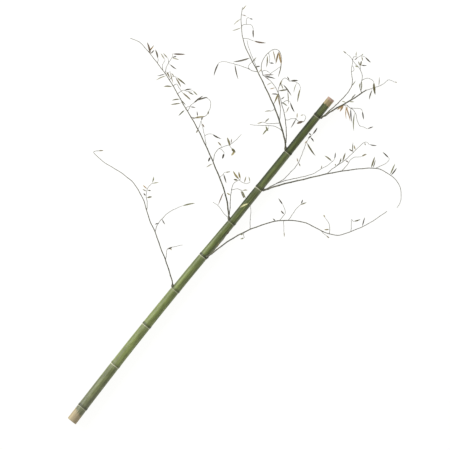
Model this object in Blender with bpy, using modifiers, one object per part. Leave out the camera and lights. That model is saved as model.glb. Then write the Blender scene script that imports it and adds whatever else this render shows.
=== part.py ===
"""A cut bamboo cane lying on its side: a green culm with six dry leafy branches on its upper nodes.

Metres, +Z up. The culm runs along +X from its butt to its tip, and the surface that it lies on is z = 0.
Shapes are laid out in the cane's own frame, which starts at the butt, and an empty moves that frame so that
the origin is the middle of the whole thing's footprint.
"""

import math
import random

import bmesh
import bpy
from mathutils import Matrix, Vector

# The culm.
CULM_LENGTH = 2.0
BUTT_RADIUS = 0.025
TIP_RADIUS = 0.0183
RINGS = (0.081, 0.338, 0.581, 0.802, 1.014, 1.226, 1.438, 1.660, 1.885)
CULM_SEGMENTS = 18
RIDGE_HEIGHT = 0.0013
REST_FLAT_DEPTH = 0.00035
BOW = 0.0085
BOW_SPAN = 1.233
WALL_AT_BUTT = 0.0060
WALL_AT_TIP = 0.0042

# The outline of a node: distance past its ring, and height over the bare culm.
NODE_OUTLINE = (
    (-0.0100, 0.0),
    (-0.0015, -0.0005),
    (0.0002, RIDGE_HEIGHT),
    (0.0025, 0.0),
    (0.0055, RIDGE_HEIGHT),
    (0.0095, RIDGE_HEIGHT),
    (0.0170, 0.0002),
)

# The shallow channel that a branch leaves in the internode above its node.
CHANNEL_DEPTH = 0.0016
CHANNEL_LENGTH = 0.110
CHANNEL_HALF_ANGLE = math.radians(48)

# The branches.
SEAT_PAST_RING = 0.012
COLLAR_RADIUS = 0.0085
SEAT_GAP = 0.0003
STEM_SPACING = 0.048
TWIG_SPACING = 0.034
STEM_TIP_GAP = 0.0004
ARCH_LEAN = 0.8
TWIG_TIP_RADIUS = 0.0009
LEAST_TWIG_HEIGHT = 0.003
ROOT_DEPTH = 0.0003
STALK_HALF_WIDTH = 0.0005
SHORTEST_STALK = 0.004
SHORT_STALK = 0.008
LEAST_STALK_LEAN = 0.5
BLADE_THICKNESS = 0.0010
BLADE_OUTLINE = ((0.0, 0.16), (0.22, 0.85), (0.60, 0.92))
LEAST_HEIGHT = 0.0006
LEFT = 1
RIGHT = -1

# The middle of the footprint, in the cane's own frame.
ORIGIN_X = 1.130
ORIGIN_Y = 0.179

# The picture that the branches' places are read from: metres a pixel at their height, its turn from the
# culm, its middle pixel, and where that pixel falls in the cane's own frame.
PIXEL = 0.004816
PICTURE_TURN = math.radians(51.17)
PICTURE_MIDDLE = (225, 225)
MIDDLE_ALONG = 1.202
MIDDLE_LEFT = 0.0175

# A stem: radius at its foot and at its tip and height of its arch in millimetres, then its route in pixels.
# A twig: radius at its foot, rise half-way and rise at its tip in millimetres, then its route in pixels,
# whose first point is moved to the nearest place on what the twig grows from.
# A leaf: the pixel where its blade begins, the one where it ends, and its width in millimetres.
BRANCHES = {
    "branch_4": {
        "node": 4,
        "side": LEFT,
        "lift": 15,
        "stem": (2.9, 1.2, 66, (
            (171.7, 280), (165.8, 261), (160.3, 247), (155.3, 232.5), (150, 221), (147, 211.5),
            (143.8, 200.8), (139.3, 192), (133.5, 183), (126.5, 176.8), (119, 171.3), (110, 166),
            (102, 160.8), (95.5, 154.8), (93.2, 151.8), (96, 150.6), (101, 150.4))),
        "twigs": (
            (1.3, 12, 0, (
                (166, 260), (166.5, 254), (167, 249.7), (169.5, 247.8), (175, 246.6), (182.5, 245))),
            (1.5, 14, 0, (
                (155.2, 232), (156.5, 227), (159, 222.5), (162.5, 218.5), (168, 213), (174, 209.5),
                (182, 206))),
            (1.4, 12, 4, (
                (147, 211), (147.3, 203), (146.3, 196.5), (147, 190.5), (149, 186.3), (152.4, 183))),
            (1.0, 6, 4, ((162.2, 218.8), (162, 219.5), (163.3, 221.5))),
        ),
        "leaves": (
            (97.5, 150.7, 103, 150.3, 6), (167.3, 249.3, 172.2, 247.3, 6), (182, 206, 195.2, 203.2, 8),
            (158.8, 223, 155, 224.4, 6), (161.8, 218.8, 165.2, 224.3, 6), (146.8, 198, 152.2, 196.8, 8),
            (146.3, 196, 143.6, 193.3, 7), (146.8, 191.5, 142.6, 189, 6), (147.4, 189.3, 142.8, 185.2, 6),
            (147.2, 190.2, 151, 190.9, 6), (152.4, 183, 153.8, 176.6, 6), (151.8, 183.6, 158.9, 182.2, 6),
            (170, 247.7, 171.5, 250.3, 6),
        ),
    },
    "branch_5": {
        "node": 5,
        "side": RIGHT,
        "lift": 42,
        "stem": (3.3, 1.3, 62, (
            (214, 252), (220, 247.2), (226, 242.8), (233, 238.3), (242, 233.3), (251.6, 228.8),
            (261.2, 225.4), (270.8, 222.2), (279, 220.8), (288.4, 220.4), (299.6, 221.4), (308.4, 224),
            (317.2, 228.6), (326, 232.8), (331, 234.3), (339.7, 235.2), (348.8, 232.4), (360, 228),
            (369, 223.6), (379.4, 217), (387.5, 211.3))),
        "twigs": (
            (1.3, 8, 4, ((211, 254.3), (217, 247), (222.5, 240.5), (227, 234.5))),
            (1.3, 4, -22, ((250.3, 229.4), (250.2, 220), (250.9, 211), (250.3, 206), (248.6, 203.2))),
            (1.2, 10, 4, ((279.5, 220.6), (282.5, 217), (284.8, 214), (285, 210), (283, 205))),
            (1.3, 12, 0, ((288.5, 220.4), (293, 213.5), (297, 208), (301, 204.3))),
            (1.0, 6, -4, ((283.5, 220.8), (283.8, 226.5), (284, 232))),
            (1.2, 10, 2, ((329.5, 233.8), (329.9, 228), (328.5, 222.5), (325, 217.3))),
            (1.2, 8, 2, ((351.3, 231.3), (351.6, 225), (351.6, 219.5), (353.6, 221.6))),
            (1.0, 6, 2, ((320.5, 230.3), (324, 233.8), (326.5, 235.8))),
            (1.0, 5, 0, ((244, 232.3), (243.6, 235), (244.6, 237.6))),
        ),
        "leaves": (
            (248.2, 203.4, 239.8, 207.6, 8), (284.5, 214.6, 281, 210.6, 7), (283, 205, 278.4, 198.4, 7),
            (275.8, 221.2, 272.8, 218.6, 6), (301.2, 204.2, 302.7, 199.6, 6),
            (300.4, 205.2, 306.7, 202.5, 6), (284, 231, 284.4, 237, 4), (329.6, 229.2, 324.3, 229.7, 6),
            (353.6, 221.6, 360.8, 219.2, 7), (362.2, 226, 365.3, 217.3, 6), (326, 235.4, 329.5, 238, 6),
            (244, 234.2, 240.6, 234.8, 6), (244.6, 237.6, 240.3, 239.1, 6), (226.6, 235, 229.4, 231.6, 6),
            (217, 247, 218.6, 243.2, 6), (325.5, 218, 323.7, 214.8, 6),
        ),
    },
    "branch_6": {
        "node": 6,
        "side": LEFT,
        "lift": 12,
        "stem": (3.6, 1.3, 80, (
            (228.4, 212), (227.3, 203), (225.4, 194.5), (221.2, 181.5), (216.3, 169.8), (211.2, 157.5),
            (205, 144), (198, 129.5), (191, 117), (184, 105.5), (178, 94.5), (172, 84), (165.5, 73.8),
            (158.5, 64.5), (151.5, 55.2), (145.5, 48), (141, 43), (136, 39.8), (130, 37.4))),
        "twigs": (
            (2.1, 12, 24, (
                (229.3, 217), (230.1, 208), (230.4, 199), (231.4, 191), (233, 184.5), (236.5, 181.3),
                (240.6, 179))),
            (1.2, 2, -8, ((231.6, 190), (237, 188.8), (242.4, 190.4))),
            (1.1, 2, 0, ((239, 180), (243, 182.6), (246.5, 183.6), (250, 182.2))),
            (1.2, 8, 4, ((227.5, 219), (223.5, 213), (219, 206.5), (213, 202))),
            (1.5, 14, 4, (
                (213.3, 162), (214.3, 156), (216, 152), (219.3, 148.6), (224, 146.6), (230, 144.6),
                (235.5, 140.6), (241.3, 134.6))),
            (1.2, 8, 4, ((219.3, 148.6), (222, 150), (224.2, 153))),
            (1.3, 10, 4, ((206.3, 147), (205.4, 140), (204, 133), (202.6, 127), (201.3, 121))),
            (1.2, 6, 4, ((198, 129.5), (199.6, 126), (201, 121))),
            (1.4, 14, 2, (
                (191.2, 117.3), (198, 118.2), (205.3, 116.3), (209, 111), (210.8, 105), (209.6, 100),
                (205, 97.2))),
            (1.2, 8, 2, ((186, 108.8), (187.2, 107), (190, 106.6))),
            (1.3, 12, 4, ((187.5, 111.5), (190.5, 106), (193.5, 103.2), (197, 100.6))),
            (1.3, 12, 4, ((177.6, 94), (180.5, 91.5), (184, 90.2), (187.8, 91.6), (192.8, 90.6))),
            (1.3, 10, 4, ((173, 86), (176.4, 84), (179, 87.6), (182.4, 92.6))),
            (1.3, 10, 4, ((169.4, 79.8), (172.5, 76.6), (176.4, 77))),
            (1.4, 14, 4, (
                (165.2, 73), (166.4, 67), (168.6, 62.6), (170.8, 59.6), (172.3, 56), (172.3, 53.6))),
            (1.2, 8, 4, ((157, 62.8), (157.9, 60.5), (158, 58.6))),
            (1.2, 8, 4, ((163, 70.2), (162.4, 65.5), (165, 59.5))),
            (1.0, 6, 4, ((168.6, 62.6), (168.4, 60.4), (168, 58.4))),
            (1.0, 6, 4, ((166.2, 74.6), (168.4, 72.6), (170.2, 71.4))),
            (1.0, 6, 2, ((204.5, 136), (208, 134.2), (212, 134.2))),
            (1.0, 2, -2, ((229, 145), (230.6, 147.2), (233, 149.6), (235.4, 151.6))),
            (1.0, 6, 2, ((219.4, 177.4), (222.4, 175), (224.6, 172.4))),
        ),
        "leaves": (
            (151.7, 52.8, 146.8, 41.6, 9), (150.8, 53.4, 154, 49.6, 7), (149.2, 50.6, 153.6, 44.8, 6),
            (158, 58.8, 155.1, 49.1, 8), (165, 59.6, 160.6, 53.2, 6), (168, 58.4, 163.3, 53, 6),
            (172.3, 53.7, 185.5, 54.2, 8), (171.8, 57.4, 176.6, 55.9, 6), (172, 57.8, 179, 59.8, 6),
            (170.2, 64.4, 176.7, 69.2, 6), (165.9, 73.2, 157.2, 75.7, 5), (165.4, 75.8, 156.1, 79.9, 5),
            (166.5, 71.6, 169.6, 78, 7), (170.2, 71.4, 173.2, 83, 5), (176.5, 77, 185.7, 84.5, 8),
            (175.4, 76.8, 181, 87, 7), (171.6, 86.5, 163.6, 86.4, 7), (184, 90.2, 191.8, 89.1, 7),
            (187.6, 92.6, 193.7, 94.7, 6), (192.8, 90.6, 197.5, 95.2, 6), (181.2, 92.8, 190.8, 100, 8),
            (182.6, 98.6, 185.8, 105, 4), (193, 103.8, 203.3, 95.6, 8), (197.5, 100.3, 208, 97.2, 8),
            (205.9, 109.5, 208, 114.8, 8), (205.3, 116.3, 191.5, 119.2, 7), (190, 106.8, 195.6, 107.9, 6),
            (179.4, 99.2, 171.8, 100.4, 6), (180.3, 103.2, 170.6, 104.6, 6), (184.2, 110.4, 178.4, 116, 7),
            (198.2, 129.2, 196, 133, 7), (201.9, 123.4, 204.2, 127.6, 6), (201.3, 121, 202.4, 117, 6),
            (212.2, 134.1, 221.5, 139, 8), (221.2, 145.7, 217.6, 141.8, 7), (230, 147, 227.1, 137.4, 11),
            (231.2, 148, 235.5, 152.8, 13), (235.2, 151.2, 231.4, 155.8, 11),
            (231.4, 144, 231.9, 138.8, 6), (224.3, 153, 222.4, 159, 9), (210.8, 156.4, 208.3, 161.8, 9),
            (212.2, 164, 206.3, 167.4, 6), (231, 195.4, 226.8, 192.8, 7), (223.6, 174, 226.4, 183.5, 7),
            (224.6, 172.4, 230.4, 171.4, 5), (239.4, 179.6, 233.1, 170.7, 11),
            (241, 178.8, 238.8, 171.6, 9), (238.2, 180.2, 233.6, 179.2, 8), (244, 183.6, 246.2, 176.2, 6),
            (250, 182.2, 248.8, 176.6, 5), (242, 190.5, 245.9, 198.2, 8), (240.6, 190, 244.3, 198.6, 8),
            (223, 193.4, 218.2, 205.2, 6), (242.6, 190, 247.6, 190.2, 6), (197.6, 116, 197, 111.4, 5),
            (174.4, 76.6, 171.4, 73.2, 5),
        ),
    },
    "branch_7": {
        "node": 7,
        "side": RIGHT,
        "lift": 14,
        "stem": (3.9, 1.0, 66, (
            (266, 189.6), (272, 187.4), (280, 185), (290, 182.4), (300, 180.2), (310, 177.8), (320, 175.4),
            (330, 173.3), (340, 171.5), (350, 170), (360, 168.8), (370, 168.1), (377, 168.4), (383, 170.4),
            (390, 174.6), (396, 179.5), (399.5, 184.5), (401.3, 190), (401.8, 197), (400.5, 203),
            (397.6, 207.8))),
        "twigs": (
            (2.0, 10, 10, (
                (265, 189.8), (275, 184.2), (285, 180.7), (295, 178.4), (305, 176.2), (314, 173.4),
                (321, 169), (328, 165.2), (332.6, 161.3), (334.7, 159.4))),
            (1.6, 12, -2, (
                (277, 183.8), (284, 179), (290, 172.8), (295, 167.6), (298.8, 162), (302, 154.5),
                (304.8, 147), (307, 141.5), (309.5, 137.6), (312.6, 134.4))),
            (1.6, 14, -2, (
                (327, 173.9), (332, 169.2), (338, 165.1), (345, 160.1), (351, 154.6), (356, 149.7),
                (361, 145), (364.5, 142.3), (367, 142.3), (369.2, 144.6))),
            (1.4, 12, 0, (
                (341.5, 171.2), (345.5, 167), (348.5, 163), (350.7, 159.6), (354.5, 157.3), (361, 156.8))),
            (1.2, 8, 2, ((376, 168.2), (380, 166.2), (384.5, 164.2), (389, 160.6), (389.3, 158))),
            (1.0, 5, 2, ((336.8, 166), (338.6, 163.6), (341.5, 160.2))),
        ),
        "leaves": (
            (332.4, 161.3, 324.8, 155.6, 7), (334.7, 159.4, 335.7, 152.2, 6), (299, 163, 297.2, 158, 6),
            (299, 162.6, 300.3, 166.4, 5), (307.5, 142.4, 315.8, 155.8, 9),
            (310.4, 136.6, 313.9, 141.6, 7), (312, 135, 308.2, 138.2, 8), (311.6, 135.4, 309.2, 133, 8),
            (312.8, 134.2, 317.6, 127.2, 7), (339.4, 164.2, 341.2, 158, 7), (342, 161.8, 345.5, 152.4, 7),
            (355.3, 150.2, 353.9, 145.2, 6), (352.6, 152.8, 353.1, 142.4, 6),
            (353.6, 151.8, 349.1, 149, 6), (336.2, 166.6, 335, 164, 6), (361, 157, 367, 154, 7),
            (369.1, 144.5, 376.8, 145.6, 6), (371.2, 167.8, 375, 156.6, 8),
            (389.4, 158.2, 382.8, 151.8, 7), (391.2, 175.6, 397.2, 167.6, 7),
            (390.6, 174.6, 395.5, 163.4, 7), (308, 140.2, 305, 143.4, 5), (364.6, 142.3, 365.6, 145.4, 5),
            (345, 160.1, 348.4, 162.4, 5), (321, 169, 322.2, 165.4, 5),
            (373, 167.8, 375.6, 159.4, 6),
        ),
    },
    "branch_8": {
        "node": 8,
        "side": LEFT,
        "lift": 12,
        "stem": (4.1, 1.3, 72, (
            (285.3, 142), (284.4, 137.5), (281.6, 127.8), (278.4, 117.8), (275, 108.6), (271, 99.4),
            (266.5, 89.8), (261.6, 79.5), (256.6, 69.4), (251.6, 59.8), (247.6, 51.6), (244.4, 43.8),
            (242.6, 36), (241.6, 28), (241.2, 19), (241.6, 12.5), (242.5, 6.6))),
        "twigs": (
            (2.3, 12, 16, (
                (286.3, 145.5), (286.5, 138), (286.4, 130), (285.6, 121), (284.2, 112.5), (282, 104.6),
                (280, 97), (276.4, 88.6), (272, 82.2), (267, 77.8), (262.6, 75))),
            (1.6, 8, 2, (
                (263.4, 75.6), (261.3, 68), (263, 59.8), (268, 53), (273.8, 49.2), (278.6, 50.2),
                (281.4, 55.4), (281.6, 62.5), (280.2, 69.5), (278.4, 76.4))),
            (1.6, 8, 4, (
                (279.4, 121.2), (280.4, 112), (279.8, 103), (278.6, 95), (278.4, 89.6), (279.2, 87))),
            (1.2, 6, 2, ((285.4, 119.6), (288, 119.8), (291.4, 118.6), (296.4, 118.4))),
            (1.2, 10, 0, ((295.4, 118.4), (299.4, 121.4), (303.6, 121.6), (306, 117), (304, 114.4))),
            (1.4, 6, 2, (
                (283, 131.8), (280, 129), (275.6, 126.6), (269.5, 125.5), (258, 125.3), (250, 124.4))),
            (1.3, 6, 2, ((280.6, 122.4), (277.6, 123.2), (268.4, 123.6), (264.6, 122.4), (260.8, 122.2))),
            (1.2, 6, 2, ((275.4, 108.2), (272.8, 110.6), (270.4, 111.3))),
            (1.4, 8, 2, (
                (258, 71.6), (253, 71.1), (249.6, 69.4), (244, 67), (233.6, 63.8), (224, 61.6),
                (218.8, 62.5))),
            (1.1, 4, 2, ((249.6, 69.4), (248.4, 66.4), (251.4, 62.6), (255.4, 60))),
            (1.1, 4, 6, ((259, 74.2), (255.8, 65.4), (251.6, 55.4), (248.4, 46.6), (247, 40.4))),
            (1.2, 8, 2, ((243.2, 38.2), (246.8, 38.2), (250.4, 39.4), (253.6, 40.6))),
            (1.2, 8, 2, ((241.6, 26.2), (243.6, 24.2), (247.6, 24), (251.6, 24.6), (253.4, 28.4))),
            (1.0, 4, 2, ((246.6, 24.2), (246.4, 20), (247.8, 17.2), (249.4, 17.8))),
            (1.0, 4, 2, ((267.5, 78.2), (270.6, 73.6), (276, 69.6), (281, 66.2))),
            (1.0, 4, 2, ((262, 71.4), (265.6, 70.2), (270.6, 73.4))),
            (1.3, 10, 2, ((278.7, 88.6), (281.8, 80.4), (285.4, 78.2), (290, 81.4))),
            (1.0, 6, 2, ((289.2, 80.8), (295.6, 82), (299.2, 84.4), (300.6, 88.2))),
            (1.2, 6, 0, ((281.6, 103.6), (286.4, 100.4), (290.2, 101.6))),
            (1.0, 4, 0, ((279.2, 91.2), (283.8, 89.4), (287.6, 90))),
            (1.0, 2, 2, ((268.6, 52.6), (269.8, 57.5), (269.2, 62.6))),
        ),
        "leaves": (
            (240.8, 18, 233.6, 24.4, 5), (241.4, 27.2, 232.3, 30.2, 5), (249.3, 17.8, 252.8, 18.8, 6),
            (253.4, 28.2, 253.6, 37.4, 8), (253.4, 40.5, 266.2, 42.6, 8), (250, 58, 232.8, 61.7, 9),
            (219, 62.4, 213.9, 76.2, 7), (234.8, 64.2, 238.3, 79.6, 7), (255.6, 66.7, 260.2, 66, 6),
            (278.6, 51, 275.8, 63.8, 9), (279.8, 51, 281.6, 64.5, 10), (281.9, 60, 278.8, 75.5, 5),
            (267.4, 55.6, 266.4, 67.2, 6), (262.6, 75.2, 274.4, 74.6, 7), (263.6, 76, 275.6, 78.4, 7),
            (264.6, 76.4, 270, 80.4, 5), (273.4, 50.4, 275.4, 61, 5), (279.2, 87, 282.4, 79.8, 7),
            (289.4, 81.6, 298.4, 80.6, 8), (300.5, 88, 297.6, 102, 7), (283.6, 85, 291.6, 96, 7),
            (279, 91, 287.8, 89.8, 6), (279.4, 94, 271.4, 93.8, 7), (278.6, 92.6, 274, 103.8, 6),
            (278.8, 93.4, 276.2, 100, 6), (279.3, 93.6, 280.8, 108, 8), (287.8, 91.6, 288.7, 103.8, 5),
            (290.2, 101.6, 294.8, 112, 7), (281.6, 101.6, 287.4, 105.9, 6), (276.8, 94.6, 273.2, 105, 5),
            (272, 111, 264.6, 111.6, 5), (264.8, 122.2, 269.4, 118.2, 7), (268.8, 128, 262.6, 135, 7),
            (265.6, 125.4, 268.4, 131.2, 8), (296.4, 118.4, 291, 127.6, 6),
            (304.6, 121.4, 296.8, 123.6, 12), (297.2, 117.4, 297.6, 112.8, 5),
            (304, 114.4, 300.8, 115.4, 5), (262.4, 122.3, 257.4, 123.6, 5), (242, 14, 246.6, 15.6, 4),
            (241.8, 9.5, 246.4, 4.6, 4), (258.6, 73, 262, 68.6, 5), (296, 84.4, 293.8, 92.4, 4),
            (275.6, 87.4, 269.6, 88.8, 4), (283.4, 90, 281, 84.2, 5), (286.6, 112, 289.4, 106.4, 4),
            (252.4, 62, 256.4, 57.4, 4), (280.6, 99.4, 284.6, 96.6, 5),
            (269.3, 63.5, 274, 63.2, 7), (289.6, 81, 287.2, 76.6, 6), (272.2, 82.4, 267.2, 85, 5),
        ),
    },
    "branch_9": {
        "node": 9,
        "side": RIGHT,
        "lift": 18,
        "stem": (4.1, 2.6, 40, (
            (326, 115), (330, 112), (336, 108.4), (342, 105.2), (348, 101.8), (354, 98.1), (359, 94.9),
            (363, 92.1), (366.8, 89.6))),
        "twigs": (
            (2.6, 16, 28, (
                (323.6, 115.6), (330, 110.1), (335, 106), (340, 101.1), (345, 96), (349, 91),
                (351.5, 86.6), (352.6, 82), (352.2, 76), (351.5, 70.5), (352.4, 64.4), (352.8, 60.2),
                (350.6, 57), (347, 53.8))),
            (1.3, 4, 2, (
                (366.2, 90), (371, 88.4), (376, 86.7), (380, 85.5), (384, 83.4), (387, 80.8),
                (390, 79.3), (395.2, 81.4))),
            (1.6, 12, 8, (
                (362.3, 92.4), (360.8, 89), (360.5, 85.5), (361.6, 82), (362.6, 78.5), (362.4, 74),
                (361, 70), (358.8, 66.6), (355.5, 63), (352.8, 59.4))),
            (1.2, 6, 4, ((352.8, 60.2), (354, 56.6), (358, 57.2), (361, 55.6), (365, 56.6))),
            (1.2, 6, 0, ((362.6, 80.4), (365.5, 78.3), (369, 78), (372.4, 79.4), (374.2, 81.4))),
            (1.5, 8, -8, (
                (341.6, 105.6), (346.6, 105), (350, 107.6), (353.6, 110), (356.3, 115), (357.6, 121),
                (360, 125.6), (364, 127), (367.4, 128.8))),
            (1.2, 4, -4, ((350.6, 108), (356, 108.2), (360.8, 108.7), (362.5, 110.6))),
            (1.0, 4, 0, ((360.6, 69.4), (360.8, 67.4), (360.2, 65.4))),
            (1.0, 4, 4, ((351.6, 71.5), (353.8, 70.6), (353.9, 67.6), (352.5, 65.6))),
            (1.1, 4, 2, ((349, 101.4), (352, 98.4), (355.6, 94.4))),
        ),
        "leaves": (
            (362.4, 90.6, 362.2, 80.6, 6), (360.6, 88.8, 359.9, 82.8, 6), (360.4, 66.2, 361.8, 60.2, 7),
            (360, 65.6, 358.9, 60.8, 6), (361.6, 56, 363.2, 60.8, 5), (361.4, 64.6, 367.2, 65.1, 6),
            (365, 56.7, 371.1, 62.4, 7), (356.2, 56.6, 356.7, 51.4, 6), (347, 53.8, 343.4, 50.8, 6),
            (359.2, 66.8, 355.4, 65.4, 6), (374.2, 81.4, 375.8, 94.6, 12), (372.6, 90, 369.8, 99.2, 6),
            (379.3, 85.6, 379.9, 76.4, 5), (351, 98.9, 355.9, 93.8, 6), (346.8, 102.8, 342, 101, 5),
            (349, 101.6, 354.6, 101.8, 5), (353.2, 86.8, 355.8, 80.4, 4), (362.5, 110.6, 363.9, 119.4, 7),
            (344.6, 106.4, 337, 110, 9), (343.4, 106.4, 340, 111.6, 8), (345.6, 106.4, 350.6, 121.2, 7),
            (346.4, 107, 346.4, 119, 5), (347.2, 105.8, 348, 113, 6), (350.4, 108.6, 352.4, 122.6, 7),
            (354.6, 113.6, 354.1, 130.8, 6), (367.4, 128.8, 373.8, 126.5, 6), (358, 57.2, 354.6, 59.8, 5),
            (361.2, 55.8, 363.4, 53.6, 4), (395, 81.3, 397.6, 82, 5),
        ),
    },
}


def clear_scene():
    for obj in list(bpy.data.objects):
        bpy.data.objects.remove(obj, do_unlink=True)


def new_collection(name, hidden=False):
    collection = bpy.data.collections.new(name)
    bpy.context.scene.collection.children.link(collection)
    collection.hide_render = hidden
    return collection


def new_material(name, colour, roughness):
    material = bpy.data.materials.new(name)
    material.use_nodes = True
    shader = material.node_tree.nodes["Principled BSDF"]
    shader.inputs["Base Color"].default_value = (*colour, 1.0)
    shader.inputs["Roughness"].default_value = roughness
    shader.inputs["Metallic"].default_value = 0.0
    material.diffuse_color = (*colour, 1.0)
    return material


def evaluated_mesh(obj, name):
    """The mesh of an object with its modifiers or its bevel applied."""
    bpy.context.view_layer.update()
    graph = bpy.context.evaluated_depsgraph_get()
    return bpy.data.meshes.new_from_object(obj.evaluated_get(graph), depsgraph=graph)


def make_cutter(obj, cutters):
    cutters.objects.link(obj)
    obj.hide_render = True
    obj.display_type = "WIRE"
    return obj


def bare_radius(along):
    """The culm's radius between its nodes."""
    return BUTT_RADIUS + (TIP_RADIUS - BUTT_RADIUS) * along / CULM_LENGTH


def bow_at(along):
    """How far the culm's axis leans to the left of a straight line from end to end."""
    return BOW * math.sin(math.pi * along / BOW_SPAN) if along < BOW_SPAN else 0.0


def axis_height(along):
    """The height of the culm's axis, with its node ridges pressed a little into the surface below."""
    return bare_radius(along) + RIDGE_HEIGHT - REST_FLAT_DEPTH


def channel_depth(along, angle):
    """The depth of the branch channels at a distance along the culm and an angle above its left side."""
    depth = 0.0
    for branch in BRANCHES.values():
        past = along - RINGS[branch["node"] - 1] - NODE_OUTLINE[-3][0]
        if not 0 < past < CHANNEL_LENGTH:
            continue
        lift = math.radians(branch["lift"])
        centre = lift if branch["side"] == LEFT else math.pi - lift
        away = abs(math.remainder(angle - centre, math.tau)) / CHANNEL_HALF_ANGLE
        if away < 1:
            fade = min(1.0, past / 0.008) * (1 - past / CHANNEL_LENGTH)
            depth += CHANNEL_DEPTH * fade * math.cos(away * math.pi / 2) ** 2
    return depth


def outside_outline(clearance):
    """(radius, distance along) down the outside of the culm, from its butt to its tip."""
    outline = [(BUTT_RADIUS + clearance, 0.0)]
    for ring, following in zip(RINGS, RINGS[1:] + (CULM_LENGTH,)):
        for past, height in NODE_OUTLINE:
            outline.append((bare_radius(ring + past) + height + clearance, ring + past))
        stops = [0.060] if ring >= RINGS[3] else []
        if following - ring > 0.15:
            stops.append(0.125)
        outline += [(bare_radius(ring + past) + clearance, ring + past) for past in stops]
    return outline + [(TIP_RADIUS + clearance, CULM_LENGTH)]


def solid_outline(clearance):
    return [(0.0, 0.0), *outside_outline(clearance), (0.0, CULM_LENGTH)]


def hollow_ended_outline():
    """The culm's outline, from the bottom of the hollow in its butt to the bottom of the one in its tip."""
    hollow_butt = BUTT_RADIUS - WALL_AT_BUTT
    hollow_tip = TIP_RADIUS - WALL_AT_TIP
    butt_wall = RINGS[0] - 0.002
    tip_wall = RINGS[-1] + 0.012
    return [
        (0.0, butt_wall),
        (hollow_butt * 0.8, butt_wall - 0.002),
        (hollow_butt, butt_wall - 0.010),
        (hollow_butt, 0.0),
        *outside_outline(0.0),
        (hollow_tip, CULM_LENGTH),
        (hollow_tip, tip_wall + 0.010),
        (hollow_tip * 0.8, tip_wall + 0.002),
        (0.0, tip_wall),
    ]


def turned_culm(name, outline):
    """The outline as a turned mesh, then channelled, bowed and laid down, in the cane's frame."""
    profile = bpy.data.meshes.new(name + "_profile")
    points = [(radius, 0.0, along) for radius, along in reversed(outline)]
    profile.from_pydata(points, [(i, i + 1) for i in range(len(points) - 1)], [])
    turned = bpy.data.objects.new(name + "_turned", profile)
    bpy.context.scene.collection.objects.link(turned)
    screw = turned.modifiers.new("turn", "SCREW")
    screw.axis = "Z"
    screw.steps = screw.render_steps = CULM_SEGMENTS
    screw.use_merge_vertices = True
    screw.merge_threshold = 0.00001
    mesh = evaluated_mesh(turned, name)
    bpy.data.objects.remove(turned)
    bpy.data.meshes.remove(profile)
    for vertex in mesh.vertices:
        below, left, along = vertex.co
        radius = math.hypot(below, left)
        if radius > bare_radius(along) - 0.002:
            depth = channel_depth(along, math.atan2(-below, left))
            below *= 1 - depth / radius
            left *= 1 - depth / radius
        vertex.co = (along, left + bow_at(along), axis_height(along) - below)
    mesh.name = name
    return mesh


def floor_cutter(cutters):
    """A slab whose top is the surface that the cane lies on."""
    bpy.ops.mesh.primitive_cube_add(size=1.0)
    slab = bpy.context.object
    slab.name = "floor_cutter"
    for collection in list(slab.users_collection):
        collection.objects.unlink(slab)
    size = Matrix.Diagonal((CULM_LENGTH + 0.1, 0.12, 0.01, 1.0))
    slab.data.transform(Matrix.Translation((CULM_LENGTH / 2, 0.0, -0.005)) @ size)
    return make_cutter(slab, cutters)


def make_culm(parts, cutters, material):
    culm = bpy.data.objects.new("culm", turned_culm("culm", hollow_ended_outline()))
    parts.objects.link(culm)
    cut = culm.modifiers.new("rest_flats", "BOOLEAN")
    cut.operation = "DIFFERENCE"
    cut.solver = "EXACT"
    cut.object = floor_cutter(cutters)
    culm.data.materials.append(material)
    culm.data.shade_smooth()
    culm.data.set_sharp_from_angle(angle=math.radians(30))
    return culm


def smooth_route(points, spacing):
    """Points about one spacing apart on a smooth curve through the given ones."""
    given = [Vector(point) for point in points]
    ends = [given[0] * 2 - given[1], *given, given[-1] * 2 - given[-2]]
    route = []
    for a, b, c, d in zip(ends, ends[1:], ends[2:], ends[3:]):
        steps = max(1, round((c - b).length / spacing))
        for step in range(steps):
            t = step / steps
            square = (2 * a - 5 * b + 4 * c - d) * t * t
            cube = (3 * b - a - 3 * c + d) * t * t * t
            route.append((2 * b + (c - a) * t + square + cube) / 2)
    return route + [given[-1]]


def place(across, down):
    """Where a pixel of the picture falls, in the cane's own frame."""
    right = (across - PICTURE_MIDDLE[0]) * PIXEL
    up = (PICTURE_MIDDLE[1] - down) * PIXEL
    along = MIDDLE_ALONG + right * math.cos(PICTURE_TURN) + up * math.sin(PICTURE_TURN)
    left = MIDDLE_LEFT - right * math.sin(PICTURE_TURN) + up * math.cos(PICTURE_TURN)
    return Vector((along, left))


def raised(flat, height_at):
    """The points of a flat route, each at the height for its share of the way."""
    reached = [0.0]
    for start, end in zip(flat, flat[1:]):
        reached.append(reached[-1] + (end - start).length)
    return [(*point, height_at(reach / reached[-1])) for point, reach in zip(flat, reached)]


def stem_points(seat, tip_mm, arch_mm, pixels):
    """A stem's points, in an arch from its seat to just over the surface at its tip."""
    tip_height = tip_mm / 1000 + STEM_TIP_GAP

    def height_at(share):
        straight = seat.z + (tip_height - seat.z) * share
        return straight + arch_mm / 1000 * math.sin(math.pi * share**ARCH_LEAN)

    return raised([seat.to_2d()] + [place(*pixel) for pixel in pixels], height_at)


def twig_points(foot, middle_mm, tip_mm, pixels):
    """A twig's points, from its foot through its rise half-way to its rise at its tip."""

    def height_at(share):
        rise = 4 * middle_mm * share * (1 - share) + tip_mm * share * (2 * share - 1)
        return max(LEAST_TWIG_HEIGHT, foot.z + rise / 1000)

    return [foot, *raised([foot.to_2d()] + [place(*pixel) for pixel in pixels[1:]], height_at)[1:]]


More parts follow.
